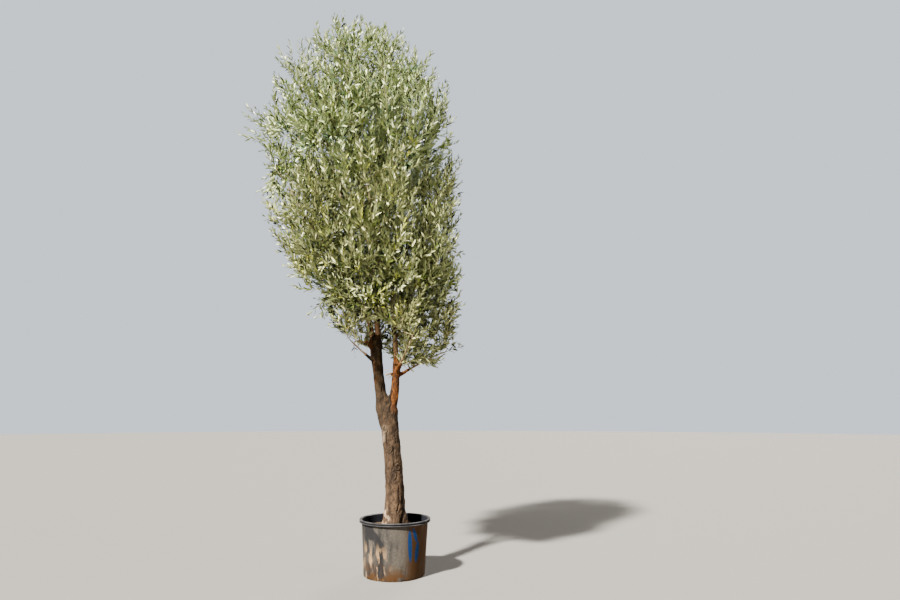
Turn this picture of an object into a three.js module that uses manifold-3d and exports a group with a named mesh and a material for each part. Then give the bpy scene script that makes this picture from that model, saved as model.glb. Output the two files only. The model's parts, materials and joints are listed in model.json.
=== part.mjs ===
// A potted olive tree, as a nursery grows it: a round plastic container filled with soil, a trunk
// that leans and forks into two pruned stems, upright boughs, and a crown of leafy masses.
// Millimetres, +Z up, with the origin at the centre of the container's underside. The tree is seen
// from -Y, and leans towards -X.
import * as THREE from "three";
import { mergeVertices } from "three/addons/utils/BufferGeometryUtils.js";
import Module from "manifold-3d";

const wasm = await Module();
wasm.setup();

const vector = (x, y, z) => new THREE.Vector3(x, y, z);
const onward = (point, direction, distance) => point.clone().addScaledVector(direction, distance);
const UP = vector(0, 0, 1);
const TURN = 2 * Math.PI;
const degrees = THREE.MathUtils.degToRad;
const { lerp, smoothstep } = THREE.MathUtils;

// Clearances
const GAP = 0.3; // between two pieces that meet
const LIMB_ROOM = 6; // from a leaf or twig to a limb that it doesn't grow on
const CELL_ROOM = 4; // from a leaf or twig to the edge of its mass's own space

// Container
const POT_HEIGHT = 520;
const RIM_RADIUS = 350;
const BODY_RADIUS = 325; // outside, under the rim
const BASE_RADIUS = 296; // outside, at the ground
const POT_WALL = 5;
const RIM_HEIGHT = 30;
const RIM_ROLL = 8; // how far the rim's edges are rounded
const POT_SIDES = 40;
const DRAIN_HOLES = 8;
const DRAIN_WIDTH = 34;
const DRAIN_HEIGHT = 16;
const SOIL_TOP = 452;
const SOIL_FALL = 14; // from the flat middle down to the wall
const SOIL_ROOM = 1; // between the soil and the container

// Trunk
const TRUNK_FOOT = SOIL_TOP + GAP;
const FORK_HEIGHT = 1640;
const TRUNK_LEAN = 112; // sideways at the fork
const WAIST_RADIUS = 89;
const FLARE = 40; // added to the radius at the foot
const FLARE_HEIGHT = 160;
const FORK_SWELL = 17; // added to the radius under the fork
const FORK_SWELL_HEIGHT = 150;
const FORK_WIDENING = 0.16; // the trunk under the fork is this much wider than it is deep
const ROOT_LOBES = 5;
const ROOT_LOBE_DEPTH = 0.13;

// Crown
const CROWN_BOTTOM = 1750;
const CROWN_TOP = 5800;
const CROWN_RADIUS = 1480; // times the profile below, which peaks at about 0.8
const CROWN_DEPTH = 0.9; // front to back, as a share of its width
const CROWN_FLOOR = 2090; // the lowest leaves, at the middle
const CROWN_FLOOR_TILT = 0.4; // they hang lower towards +X
const CROWN_LEAN = 600; // sideways at the top
const CROWN_LEAN_FROM = 1900;
const CROWN_LEAN_TO = 4800;
const CELL_FLATTENING = 0.62; // heights count this much when the crown is shared out between the masses
const SHOULDER = 0.3; // the crown is this share narrower high on the left, but for long shoots
const SHOULDER_DROP = 360; // and lower there by this
const TOP_DROP = 90; // long shoots stand this much above the rest of the crown's top
const HEADS_X = -170; // middle of the opening in front of the pruned heads
const HEADS_OPENING = 260; // the lowest leaves are this much higher there

// Limbs and foliage
const ENTRY_ROOM = 45; // how deep a bough reaches into its mass's space
const BOUGH_SHORTEST = 210;
const ROOT_SPREAD = degrees(28); // boughs stand this much further round the head than they lead
const BOUGH_RADIUS = 25;
const SIDE_BOUGH_RADIUS = 17;
const STEM_RADIUS = 9; // where a bough enters its mass
const STEM_TIP_RADIUS = 3.5;
const TWIG_RADIUS = 5.5;
const TWIG_TIP_RADIUS = 3;
const TWIG_SHORTEST = 120;
const TWIG_ORDERS = 3; // twigs on twigs on twigs
const TWIG_SPACING = 330; // between the points that twigs lead to
const LOW_SPACING = 0.72; // the low part of the crown is thinner and denser
const TWIG_SLOPE = 0.75; // how steeply they rise
const TARGET_TRIES = 6000;
const TARGET_INNERMOST = 0.2; // share of the crown's reach
const SPRAY_LENGTH = 380; // one leaf solid stands for a spray of real leaves
const SPRAY_WIDTH = 116;
const SPRAY_THICKNESS = 9;
const SKIRT_SPRAYS = 0.78; // the sprays of the lowest masses are this much smaller
const SPRAY_WIDEST = 0.42; // share of the length
const SPRAYS_A_TWIG = 4;
const SPRAY_SPACING = 85; // between the sprays along a twig
const SPRAY_ROOM = 78; // between the midribs of two sprays
const SPRAY_TRIES = 9;
const LONG_SHOOT_SLACK = 1.15; // a few shoots stand out of the crown's outline by this much
const FREE_SHOOTS = [
  // where the furthest shoots lead, sideways and in height: they stand free of the crown's outline
  [-1700, 4700],
  [-1640, 4460],
  [-1400, 5480],
  [-960, 5440],
  [280, 5420],
];
const GOLDEN_TURN = degrees(137.508);

// A number from 0 to 1 that depends only on the keys, so every twig always grows the same way.
const KEY_STEPS = [12.9898, 78.233, 37.719, 94.673];
function chance(...keys) {
  const wave = Math.sin(keys.reduce((sum, key, i) => sum + (key + 1) * KEY_STEPS[i], 0)) * 43758.5453;
  return wave - Math.floor(wave);
}
const between = (low, high, ...keys) => lerp(low, high, chance(...keys));
const evenly = (count, low, high) =>
  Array.from({ length: count }, (_, i) => lerp(low, high, (i + 0.5) / count));

// The crown's middle at a height, and how far it reaches from there.
function crownMiddle(z) {
  return vector(-CROWN_LEAN * smoothstep(z, CROWN_LEAN_FROM, CROWN_LEAN_TO), 0, z);
}
function crownReach(z) {
  const share = THREE.MathUtils.clamp((z - CROWN_BOTTOM) / (CROWN_TOP - CROWN_BOTTOM), 0, 1);
  return CROWN_RADIUS * share ** 0.42 * Math.sqrt(1 - share ** 5);
}
function inCrown(shareOfReach, angle, z) {
  const out = shareOfReach * crownReach(z);
  return crownMiddle(z).add(vector(Math.cos(angle) * out, Math.sin(angle) * out * CROWN_DEPTH, 0));
}

// Turns a closed three.js geometry into a solid that can be cut and joined, and back.
function solidOf(geometry) {
  const bare = geometry.clone();
  bare.deleteAttribute("normal");
  bare.deleteAttribute("uv");
  const merged = mergeVertices(bare, 1e-3);
  return new wasm.Manifold(
    new wasm.Mesh({
      numProp: 3,
      vertProperties: merged.attributes.position.array,
      triVerts: Uint32Array.from(merged.index.array),
    }),
  );
}
function geometryOf(solid) {
  const { vertProperties, triVerts } = solid.getMesh();
  const geometry = new THREE.BufferGeometry();
  geometry.setAttribute("position", new THREE.BufferAttribute(vertProperties, 3));
  geometry.setIndex(new THREE.BufferAttribute(triVerts, 1));
  geometry.computeVertexNormals();
  return geometry;
}
const largestBody = (solid) => solid.decompose().sort((a, b) => b.volume() - a.volume())[0];

// Two directions square to a limb's own, always the same for the same direction.
function acrossOf(along) {
  const first = UP.clone().cross(along);
  if (first.lengthSq() < 1e-6) first.set(1, 0, 0);
  first.normalize();
  return [first, along.clone().cross(first).normalize()];
}

// A tapering limb along a stretch of a curve, with flat ends square to it.
function limbSolid(curve, from, to, radiusAt, sides, steps, grow = 0) {
  const geometry = new THREE.CylinderGeometry(1, 1, 1, sides, steps);
  const position = geometry.attributes.position;
  for (let i = 0; i < position.count; i++) {
    const share = position.getY(i) + 0.5;
    const t = lerp(from, to, share);
    const along = curve.getTangent(t);
    const [first, second] = acrossOf(along);
    const radius = radiusAt(share) + grow;
    const place = curve.getPoint(t).addScaledVector(along, share === 1 ? grow : share === 0 ? -grow : 0);
    place.addScaledVector(first, position.getZ(i) * radius);
    place.addScaledVector(second, position.getX(i) * radius);
    position.setXYZ(i, place.x, place.y, place.z);
  }
  return solidOf(geometry);
}

// A limb as short straight stretches with a radius, to keep leaves and twigs away from it.
function stretchesOf(curve, from, to, radiusAt, count) {
  return Array.from({ length: count }, (_, i) => ({
    line: new THREE.Line3(
      curve.getPoint(lerp(from, to, i / count)),
      curve.getPoint(lerp(from, to, (i + 1) / count)),
    ),
    radius: Math.max(radiusAt(i / count), radiusAt((i + 1) / count)),
  }));
}

// Container: one wall and floor, with a rolled rim and drain holes in the edge of its foot.
function potSolid() {
  const top = POT_HEIGHT;
  const underRim = top - RIM_HEIGHT;
  const profile = [
    [0, 0],
    [BASE_RADIUS - RIM_ROLL, 0],
    [BASE_RADIUS, RIM_ROLL],
    [BODY_RADIUS, underRim],
    [RIM_RADIUS - RIM_ROLL / 2, underRim],
    [RIM_RADIUS, underRim + RIM_ROLL],
    [RIM_RADIUS, top - RIM_ROLL],
    [RIM_RADIUS - RIM_ROLL, top],
    [BODY_RADIUS + RIM_ROLL / 2, top],
    [BODY_RADIUS - POT_WALL, top - RIM_ROLL],
    [BODY_RADIUS - POT_WALL, underRim],
    [BASE_RADIUS - POT_WALL, POT_WALL],
    [0, POT_WALL],
  ].map(([radius, z]) => new THREE.Vector2(radius, z));
  const shell = solidOf(new THREE.LatheGeometry(profile, POT_SIDES).rotateX(Math.PI / 2));
  const holes = Array.from({ length: DRAIN_HOLES }, (_, i) => {
    const block = new THREE.BoxGeometry(DRAIN_WIDTH, DRAIN_WIDTH, 2 * DRAIN_HEIGHT);
    block.translate(BASE_RADIUS, 0, 0);
    return solidOf(block.rotateZ(((i + 0.5) / DRAIN_HOLES) * TURN));
  });
  return shell.subtract(wasm.Manifold.union(holes));
}

// Soil fills the container: flat round the trunk, and falling a little towards the wall.
function soilSolid() {
  const foot = POT_WALL + GAP;
  const wallRadius = (z) =>
    lerp(BASE_RADIUS, BODY_RADIUS, z / (POT_HEIGHT - RIM_HEIGHT)) - POT_WALL - SOIL_ROOM;
  const edge = SOIL_TOP - SOIL_FALL;
  const profile = [
    [0, foot],
    [wallRadius(foot), foot],
    [wallRadius(edge), edge],
    [wallRadius(edge) * 0.8, SOIL_TOP - SOIL_FALL / 3],
    [wallRadius(edge) * 0.58, SOIL_TOP],
    [0, SOIL_TOP],
  ].map(([radius, z]) => new THREE.Vector2(radius, z));
  return solidOf(new THREE.LatheGeometry(profile, POT_SIDES).rotateX(Math.PI / 2));
}

// Trunk: level rings that lean, swell into root lobes at the foot and widen under the fork.
const trunkShare = (z) => (z - TRUNK_FOOT) / (FORK_HEIGHT - TRUNK_FOOT);
const trunkMiddle = (z) => vector(-TRUNK_LEAN * trunkShare(z) ** 2, 0, z);
function trunkRadius(z, angle) {
  const flare = Math.exp(-(z - TRUNK_FOOT) / FLARE_HEIGHT);
  const swell = Math.exp(-(((FORK_HEIGHT - z) / FORK_SWELL_HEIGHT) ** 2));
  const lobes = 1 + ROOT_LOBE_DEPTH * flare * Math.cos(ROOT_LOBES * angle + 0.6);
  const widening = 1 + FORK_WIDENING * swell * Math.cos(2 * angle);
  return (WAIST_RADIUS + FLARE * flare + FORK_SWELL * swell) * lobes * widening;
}
function trunkSolid(grow = 0) {
  const geometry = new THREE.CylinderGeometry(1, 1, 1, 20, 14).rotateX(Math.PI / 2);
  const position = geometry.attributes.position;
  for (let i = 0; i < position.count; i++) {
    const share = position.getZ(i) + 0.5;
    const z = lerp(TRUNK_FOOT, FORK_HEIGHT, share ** 1.25);
    const angle = Math.atan2(position.getY(i), position.getX(i));
    const onAxis = Math.hypot(position.getX(i), position.getY(i));
    const place = trunkMiddle(z);
    const topShrink = share > 0.999 ? 0.8 : 1;
    const radius = (trunkRadius(z, angle) * topShrink + grow) * onAxis;
    place.add(vector(Math.cos(angle) * radius, Math.sin(angle) * radius, share > 0.999 ? grow : 0));
    position.setXYZ(i, place.x, place.y, place.z);
  }
  return solidOf(geometry);
}

// The two stems above the fork, each pruned to a head that the boughs spring from. The left one keeps
// the stub of a limb that was sawn off.
const stems = {
  left: {
    curve: new THREE.CatmullRomCurve3([
      vector(-150, 8, 1560),
      vector(-172, 14, 1740),
      vector(-198, 20, 1930),
      vector(-226, 22, 2150),
      vector(-230, 22, 2275),
    ]),
    radiusAt: (share) => 63 - 9 * Math.sin(Math.PI * Math.min(1, share * 1.15)) + 4 * share,
    sides: 14,
    stub: {
      curve: new THREE.LineCurve3(vector(-222, 10, 2150), vector(-338, -22, 2268)),
      radiusAt: (share) => 30 - 6 * share,
    },
  },
  right: {
    curve: new THREE.CatmullRomCurve3([
      vector(-52, -14, 1560),
      vector(-26, -24, 1730),
      vector(-14, -30, 1900),
      vector(-4, -34, 2050),
    ]),
    radiusAt: (share) => 48 - 9 * share,
    sides: 12,
  },
};

// The masses of foliage, in three tiers, and the limb that carries each. A limb is one curve from
// its root to the mass's far tip: it is bough until it enters the mass's space, and stem from there.
const tiers = [
  { name: "upper", count: 6, turn: 28, height: 4750, spread: 0.56 },
  { name: "middle", count: 6, turn: 40, height: 3180, spread: 0.6 },
  { name: "skirt", count: 5, turn: 4, height: 2130, spread: 0.66 },
];
const masses = tiers.flatMap(({ name, count, turn, height, spread }, tier) =>
  Array.from({ length: count }, (_, i) => {
    const angle = degrees(turn) + (i / count) * TURN;
    const z = height + between(-70, 70, tier, i, 0);
    return { name, tier, i, angle, seed: inCrown(spread, angle, z) };
  }),
);
masses.forEach((mass, number) => (mass.number = number));

// How far a point is inside the mass's own space: the part of the crown nearest to its seed.
function roomInCell(mass, point) {
  const own = mass.seed;
  let room = Infinity;
  for (const other of masses) {
    if (other === mass) continue;
    const normal = own.clone().sub(other.seed);
    normal.z *= CELL_FLATTENING ** 2;
    const halfway = own.clone().add(other.seed).multiplyScalar(0.5);
    room = Math.min(room, point.clone().sub(halfway).dot(normal) / normal.length());
  }
  return room;
}
// Whether a point is inside the crown's outline, which bulges a little here and there. Only long shoots
// reach past the thin shoulder high on the left, and it is open in front of the pruned heads.
function withinCrown(point, slack = 1, longShoot = false) {
  const { x, y, z } = point;
  const opening = (1 - smoothstep(Math.abs(x - HEADS_X), 120, 420)) * (1 - smoothstep(y, -50, 150));
  const floor = CROWN_FLOOR - CROWN_FLOOR_TILT * x + HEADS_OPENING * opening;
  const drop = longShoot ? 0 : lerp(SHOULDER_DROP, TOP_DROP, smoothstep(x, -900, -450));
  if (z > CROWN_TOP - drop || z < floor) return false;
  const out = x - crownMiddle(z).x;
  const angle = Math.atan2(y, out);
  const wave = 0.07 * Math.sin(3 * angle + z / 310) + 0.05 * Math.sin(7 * angle - z / 170);
  const shoulder = SHOULDER * smoothstep(z, 3000, 5100) * Math.max(0, -Math.cos(angle));
  const reach = crownReach(z) * (1 + wave) * slack * (longShoot ? LONG_SHOOT_SLACK : 1 - shoulder);
  return Math.hypot(out, y / CROWN_DEPTH) <= reach;
}

// A bough's root, the point that it bends towards, and the far tip of its mass.
function limbCurve(mass) {
  const { name, i, angle } = mass;
  const outward = vector(Math.cos(angle), Math.sin(angle), 0);
  if (name === "upper") {
    const onRight = outward.x > 0.3;
    const { curve } = onRight ? stems.right : stems.left;
    const side = onRight ? Math.sign(outward.y) * 0.25 * TURN : angle + (i - 2.5) * ROOT_SPREAD;
    const root = curve.getPoint(onRight ? 0.94 : 0.96 - 0.03 * (i % 2));
    root.add(vector(Math.cos(side), Math.sin(side), 0).multiplyScalar(onRight ? 24 : 38));
    const tip = inCrown(0.62, angle, between(5420, 5640, 1, i, 1));
    const bend = inCrown(0.2, angle, 3350);
    return new THREE.QuadraticBezierCurve3(root, bend, tip);
  }
  if (name === "middle") {
    const parent = masses[i];
    const root = parent.curve.getPoint(0.1 + 0.05 * (i % 2));
    const tip = inCrown(0.8, angle, between(3760, 3900, 2, i, 1));
    const bend = inCrown(0.52, angle, 2780);
    return new THREE.QuadraticBezierCurve3(root, bend, tip);
  }
  const onRight = outward.x > 0.1;
  const { curve } = onRight ? stems.right : stems.left;
  const root = curve.getPoint((onRight ? 0.66 : 0.62) + 0.09 * (i % 3));
  const tip = inCrown(0.92, angle, between(2150, 2330, 3, i, 1));
  const bend = root.clone().addScaledVector(outward, 330).setZ(root.z + 200);
  return new THREE.QuadraticBezierCurve3(root, bend, tip);
}

const CURVE_STEPS = 400;
for (const mass of masses) {
  mass.curve = limbCurve(mass);
  const root = mass.curve.getPoint(0);
  const hasEntered = (point) =>
    roomInCell(mass, point) > ENTRY_ROOM && point.distanceTo(root) > BOUGH_SHORTEST;
  let step = 1;
  while (step < CURVE_STEPS && !hasEntered(mass.curve.getPoint(step / CURVE_STEPS))) step++;
  mass.entry = step / CURVE_STEPS;
  mass.stemFrom = mass.entry + GAP / mass.curve.getLength();
  const thick = mass.name === "upper" ? BOUGH_RADIUS : SIDE_BOUGH_RADIUS;
  mass.boughRadius = (share) => lerp(thick, STEM_RADIUS, share ** 0.8);
  mass.stemRadius = (share) => lerp(STEM_RADIUS, STEM_TIP_RADIUS, share);
}

// Every limb as stretches to keep clear of.
const limbs = [
  ...Object.values(stems).flatMap(({ curve, radiusAt }) => stretchesOf(curve, 0, 1, radiusAt, 6)),
  ...stretchesOf(stems.left.stub.curve, 0, 1, stems.left.stub.radiusAt, 1),
  ...masses.flatMap((mass) => stretchesOf(mass.curve, 0, mass.entry, mass.boughRadius, 12)),
  {
    line: new THREE.Line3(trunkMiddle(TRUNK_FOOT), trunkMiddle(FORK_HEIGHT)),
    radius: WAIST_RADIUS + FORK_SWELL + FORK_WIDENING * WAIST_RADIUS,
  },
];
function clearOfLimbs(start, end, radius) {
  const line = new THREE.Line3(start, end);
  const room = radius + LIMB_ROOM;
  return limbs.every((limb) => limb.line.distanceSqToLine3(line) > (limb.radius + room) ** 2);
}

// Where the twigs lead: points spread evenly through the crown, none nearer to another than the
// spacing, each in the space of one mass.
function haltonNumber(index, base) {
  let result = 0;
  for (let share = 1 / base; index > 0; share /= base) {
    result += (index % base) * share;
    index = Math.floor(index / base);
  }
  return result;
}
for (const mass of masses) mass.targets = [];
const massAt = (target) => masses.find((each) => roomInCell(each, target) > CELL_ROOM + SPRAY_THICKNESS);
const freeTargets = FREE_SHOOTS.map(([x, z]) => vector(x, 0, z));
for (const target of freeTargets) massAt(target)?.targets.push(target);
for (let n = 1; n < TARGET_TRIES; n++) {
  const z = lerp(CROWN_BOTTOM, CROWN_TOP, haltonNumber(n, 2));
  const share = Math.sqrt(lerp(TARGET_INNERMOST ** 2, 1, haltonNumber(n, 5)));
  const target = inCrown(share, haltonNumber(n, 3) * TURN, z);
  const spacing = TWIG_SPACING * lerp(LOW_SPACING, 1, smoothstep(z, 2000, 3300));
  const isNear = (other) => other.distanceTo(target) < spacing;
  const crowded = masses.some(({ targets }) => targets.some(isNear));
  const mass = massAt(target);
  if (mass && !crowded && withinCrown(target)) mass.targets.push(target);
}

// A twig is woody as far as its last spray, which reaches past the target.
const woodyLength = (length) => Math.max(length - SPRAY_LENGTH * 0.5, length * 0.3);

// A twig springs from the stem, or from an earlier twig, where it reaches its target by a short way
// and at an easy slope, past other limbs. Near targets come first, so that far ones branch from them.
function twigsOf(mass, placed) {
  const slope = mass.name === "skirt" ? 0.1 : TWIG_SLOPE;
  const stemPlaces = evenly(30, mass.stemFrom, 0.97);
  const stemPoints = stemPlaces.map((place) => ({ root: mass.curve.getPoint(place), order: 1 }));
  const nearest = (target) => Math.min(...stemPoints.map(({ root }) => root.distanceTo(target)));
  const twigs = [];
  for (const target of [...mass.targets].sort((a, b) => nearest(a) - nearest(b))) {
    const places = [...stemPoints];
    for (const parent of twigs.filter(({ order }) => order < TWIG_ORDERS)) {
      for (const share of [0.35, 0.6, 0.85]) {
        const root = onward(parent.root, parent.heading, share * woodyLength(parent.length));
        places.push({ root, order: parent.order + 1, parent });
      }
    }
    const ways = places.map(({ root, order, parent }) => {
      const heading = target.clone().sub(root);
      const length = heading.length();
      const detour = Math.abs(heading.z - Math.hypot(heading.x, heading.y) * slope);
      return { root, order, parent, heading: heading.normalize(), length, cost: length + detour };
    });
    ways.sort((a, b) => a.cost - b.cost);
    const number = twigs.length;
    for (const way of ways) {
      const alongside = way.parent && way.parent.heading.dot(way.heading) > 0.94;
      if (way.length < TWIG_SHORTEST || alongside) continue;
      if (!clearOfLimbs(onward(way.root, way.heading, STEM_RADIUS), target, TWIG_RADIUS)) continue;
      way.longShoot = number % 4 === 1;
      way.isFree = freeTargets.includes(target);
      way.last = sprayOf(mass, way, number, 0, placed);
      if (!way.last) continue;
      placed.push(way.last.line);
      twigs.push(way);
      break;
    }
  }
  return twigs;
}

// One spray is a pointed blade with a keel, its root on the twig's axis. It is turned on round the
// twig, and made shorter, until it fits, and left out where nothing does.
function sprayOf(mass, twig, number, k, placed) {
  const m = mass.number;
  const [side, face] = acrossOf(twig.heading);
  const place = Math.max(woodyLength(twig.length) - k * SPRAY_SPACING, twig.length * 0.1);
  const root = onward(twig.root, twig.heading, place);
  for (let attempt = 0; attempt < SPRAY_TRIES; attempt++) {
    const turn = (k + attempt) * GOLDEN_TURN + between(0, TURN, m, number);
    const tilt = k === 0 ? 0.1 + 0.08 * attempt : degrees(between(30, 55, m, number, k + attempt, 3));
    const axis = twig.heading.clone().multiplyScalar(Math.cos(tilt));
    axis.addScaledVector(side, Math.sin(tilt) * Math.cos(turn));
    axis.addScaledVector(face, Math.sin(tilt) * Math.sin(turn));
    axis.addScaledVector(UP, mass.name === "skirt" ? -0.05 : 0.12).normalize();
    const [first, second] = acrossOf(axis);
    const roll = between(0, Math.PI, m, number, k + attempt, 2);
    const width = first.multiplyScalar(Math.cos(roll)).addScaledVector(second, Math.sin(roll));
    const tierSize = mass.name === "skirt" ? SKIRT_SPRAYS : 1;
    const size = tierSize * between(0.85, 1.1, m, number, k, 1) * (1 - 0.035 * attempt);
    const blade = { root, axis, width, length: SPRAY_LENGTH * size, halfWidth: (SPRAY_WIDTH * size) / 2 };
    if (sprayFits(mass, blade, twig, placed)) return blade;
  }
  return null;
}
function sprayFits(mass, blade, twig, placed) {
  const { root, axis, width, length, halfWidth } = blade;
  const tip = onward(root, axis, length);
  const middle = onward(root, axis, length * SPRAY_WIDEST);
  const ends = [tip, onward(middle, width, halfWidth), onward(middle, width, -halfWidth)];
  if (!ends.every((point) => roomInCell(mass, point) > CELL_ROOM + SPRAY_THICKNESS)) return false;
  if (!twig.isFree && !withinCrown(tip, 1.06, twig.longShoot)) return false;
  if (!clearOfLimbs(root, tip, halfWidth)) return false;
  blade.line = new THREE.Line3(root.clone().lerp(tip, 0.2), tip);
  return placed.every((line) => line.distanceSqToLine3(blade.line) > SPRAY_ROOM ** 2);
}

// Shapes a ball of three meridians by its levels, from the first pole to the last: each level has a
// place, a half width, and a keel that stands out on one side.
function keeledSolid(levels, width, normal) {
  const geometry = new THREE.SphereGeometry(1, 3, levels.length - 1);
  const position = geometry.attributes.position;
  for (let i = 0; i < position.count; i++) {
    const level = Math.floor(i / 4);
    const angle = ((i % 4) / 3) * TURN;
    const { place, halfWidth, keel } = levels[level];
    const corner = onward(place, width, (Math.sin(angle) / Math.sin(TURN / 3)) * halfWidth);
    corner.addScaledVector(normal, Math.cos(angle) * keel);
    position.setXYZ(i, corner.x, corner.y, corner.z);
  }
  return solidOf(geometry);
}
function spraySolid({ root, axis, width, length, halfWidth }) {
  const levels = [
    { place: root, halfWidth: 0, keel: 0 },
    { place: onward(root, axis, length * SPRAY_WIDEST), halfWidth, keel: SPRAY_THICKNESS * 0.67 },
    { place: onward(root, axis, length), halfWidth: 0, keel: 0 },
  ];
  return keeledSolid(levels, width, axis.clone().cross(width));
}
// A twig runs on into its last spray.
function twigSolid({ root, heading, last }) {
  const round = (radius) => ({ halfWidth: radius * Math.sin(TURN / 3), keel: radius });
  const levels = [
    { place: root, halfWidth: 0, keel: 0 },
    { place: onward(root, heading, 3 * TWIG_RADIUS), ...round(TWIG_RADIUS) },
    { place: last.root, ...round(TWIG_TIP_RADIUS) },
    {
      place: onward(last.root, last.axis, last.length * SPRAY_WIDEST),
      halfWidth: last.halfWidth,
      keel: SPRAY_THICKNESS * 0.67,
    },
    { place: onward(last.root, last.axis, last.length), halfWidth: 0, keel: 0 },
  ];
  return keeledSolid(levels, last.width, last.axis.clone().cross(last.width));
}

// Foliage of one mass: its stem, twigs that branch from it, and the sprays on them, fused into one.
function massSolid(mass) {
  const pieces = [limbSolid(mass.curve, mass.stemFrom, 1, mass.stemRadius, 3, 4)];
  const placed = [];
  const twigs = twigsOf(mass, placed);
  twigs.forEach((twig, number) => {
    pieces.push(twigSolid(twig));
    for (let k = 1; k < SPRAYS_A_TWIG; k++) {
      const blade = sprayOf(mass, twig, number, k, placed);
      if (!blade) continue;
      pieces.push(spraySolid(blade));
      placed.push(blade.line);
    }
  });
  return largestBody(wasm.Manifold.union(pieces));
}

// Colours and roughness
const PLASTIC = { color: 0x4a4744, roughness: 0.6 };
const EARTH = { color: 0x6b5138, roughness: 0.95 };
const BARK = { color: 0x6f6253, roughness: 0.9 };
const YOUNG_BARK = { color: 0x8a7a58, roughness: 0.85 };
const FOLIAGE = { color: 0x6f7a46, roughness: 0.6 };

const tree = new THREE.Group();
function add(name, solid, finish) {
  const material = new THREE.MeshStandardMaterial({ ...finish, metalness: 0 });
  const mesh = new THREE.Mesh(geometryOf(solid), material);
  mesh.name = name;
  tree.add(mesh);
}

add("pot", potSolid(), PLASTIC);
add("soil", soilSolid(), EARTH);
add("trunk", trunkSolid(), BARK);

const stemSolid = ({ curve, radiusAt, sides, stub }, grow = 0) => {
  const stem = limbSolid(curve, 0, 1, radiusAt, sides, 6, grow);
  return stub ? stem.add(limbSolid(stub.curve, 0, 1, stub.radiusAt, 10, 1, grow)) : stem;
};
const grownTrunk = trunkSolid(GAP);
const grownLeft = stemSolid(stems.left, GAP);
const grownRight = stemSolid(stems.right, GAP);
add("stem_left", largestBody(stemSolid(stems.left).subtract(grownTrunk)), BARK);
add("stem_right", largestBody(stemSolid(stems.right).subtract(grownTrunk).subtract(grownLeft)), BARK);

const boughSolid = (mass, grow = 0) => {
  const sides = mass.name === "upper" ? 7 : 6;
  return limbSolid(mass.curve, 0, mass.entry, mass.boughRadius, sides, 5, grow);
};
let taken = wasm.Manifold.union([grownTrunk, grownLeft, grownRight]);
for (const mass of masses) {
  add(`bough_${mass.name}_${mass.i + 1}`, largestBody(boughSolid(mass).subtract(taken)), YOUNG_BARK);
  taken = taken.add(boughSolid(mass, GAP));
}
for (const mass of masses) add(`foliage_${mass.name}_${mass.i + 1}`, massSolid(mass), FOLIAGE);

export default tree;
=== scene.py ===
import json
import math

import bmesh
import bpy
import numpy as np
from bpy.props import FloatProperty, FloatVectorProperty, IntProperty, PointerProperty
from bpy.types import Operator, Panel, PropertyGroup
from mathutils import Matrix, Vector, noise

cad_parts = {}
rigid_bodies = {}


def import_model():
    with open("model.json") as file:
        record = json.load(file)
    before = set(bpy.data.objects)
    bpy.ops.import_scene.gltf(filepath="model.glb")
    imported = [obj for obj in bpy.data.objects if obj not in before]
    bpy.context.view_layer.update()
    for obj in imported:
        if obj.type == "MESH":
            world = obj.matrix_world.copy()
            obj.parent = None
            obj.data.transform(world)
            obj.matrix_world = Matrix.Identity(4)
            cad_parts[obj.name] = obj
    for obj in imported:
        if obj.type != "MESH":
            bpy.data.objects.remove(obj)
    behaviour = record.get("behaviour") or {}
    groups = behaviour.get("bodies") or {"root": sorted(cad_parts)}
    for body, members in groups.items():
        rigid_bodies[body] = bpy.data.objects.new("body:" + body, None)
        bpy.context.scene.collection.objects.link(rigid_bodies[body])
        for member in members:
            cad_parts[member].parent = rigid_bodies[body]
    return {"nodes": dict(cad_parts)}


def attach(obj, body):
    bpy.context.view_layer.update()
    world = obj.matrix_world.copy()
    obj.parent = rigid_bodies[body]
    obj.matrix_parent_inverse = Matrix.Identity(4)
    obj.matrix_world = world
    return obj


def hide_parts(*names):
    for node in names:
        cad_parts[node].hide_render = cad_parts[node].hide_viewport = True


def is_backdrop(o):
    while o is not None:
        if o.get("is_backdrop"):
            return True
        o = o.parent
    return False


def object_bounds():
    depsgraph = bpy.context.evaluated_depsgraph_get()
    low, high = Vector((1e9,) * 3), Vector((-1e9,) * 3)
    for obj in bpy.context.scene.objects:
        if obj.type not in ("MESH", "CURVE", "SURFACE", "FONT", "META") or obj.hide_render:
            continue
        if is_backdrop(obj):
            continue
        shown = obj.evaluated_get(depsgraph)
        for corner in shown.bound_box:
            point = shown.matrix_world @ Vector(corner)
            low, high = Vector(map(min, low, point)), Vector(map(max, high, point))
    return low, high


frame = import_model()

# Looks of the potted olive tree: the container and its soil, the trunk with its bark, and the boughs,
# twigs and leaves, which grow by the same seeded rule as the solids. The growth is worked out in
# millimetres, as it is there, and the meshes are in metres. The tree is seen from -Y and leans
# towards -X.
bl_info = {
    "name": "Potted Olive Tree",
    "version": (1, 0, 0),
    "blender": (4, 5, 0),
    "location": "View3D > Sidebar > Olive Tree",
    "description": "Builds the looks of a potted olive tree, piece by piece",
    "category": "Add Mesh",
}

SIZE_AT_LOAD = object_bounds()
MM = 0.001  # in metres
METRE = 1000  # in mm
TURN = 2 * math.pi
UP = np.array([0.0, 0.0, 1.0])

# Clearances
GAP = 0.3  # between two pieces that meet
LIMB_ROOM = 6  # from a spray or twig to a limb that it doesn't grow on
CELL_EDGE = 13  # from the midrib of a spray to the edge of its mass's own space

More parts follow.
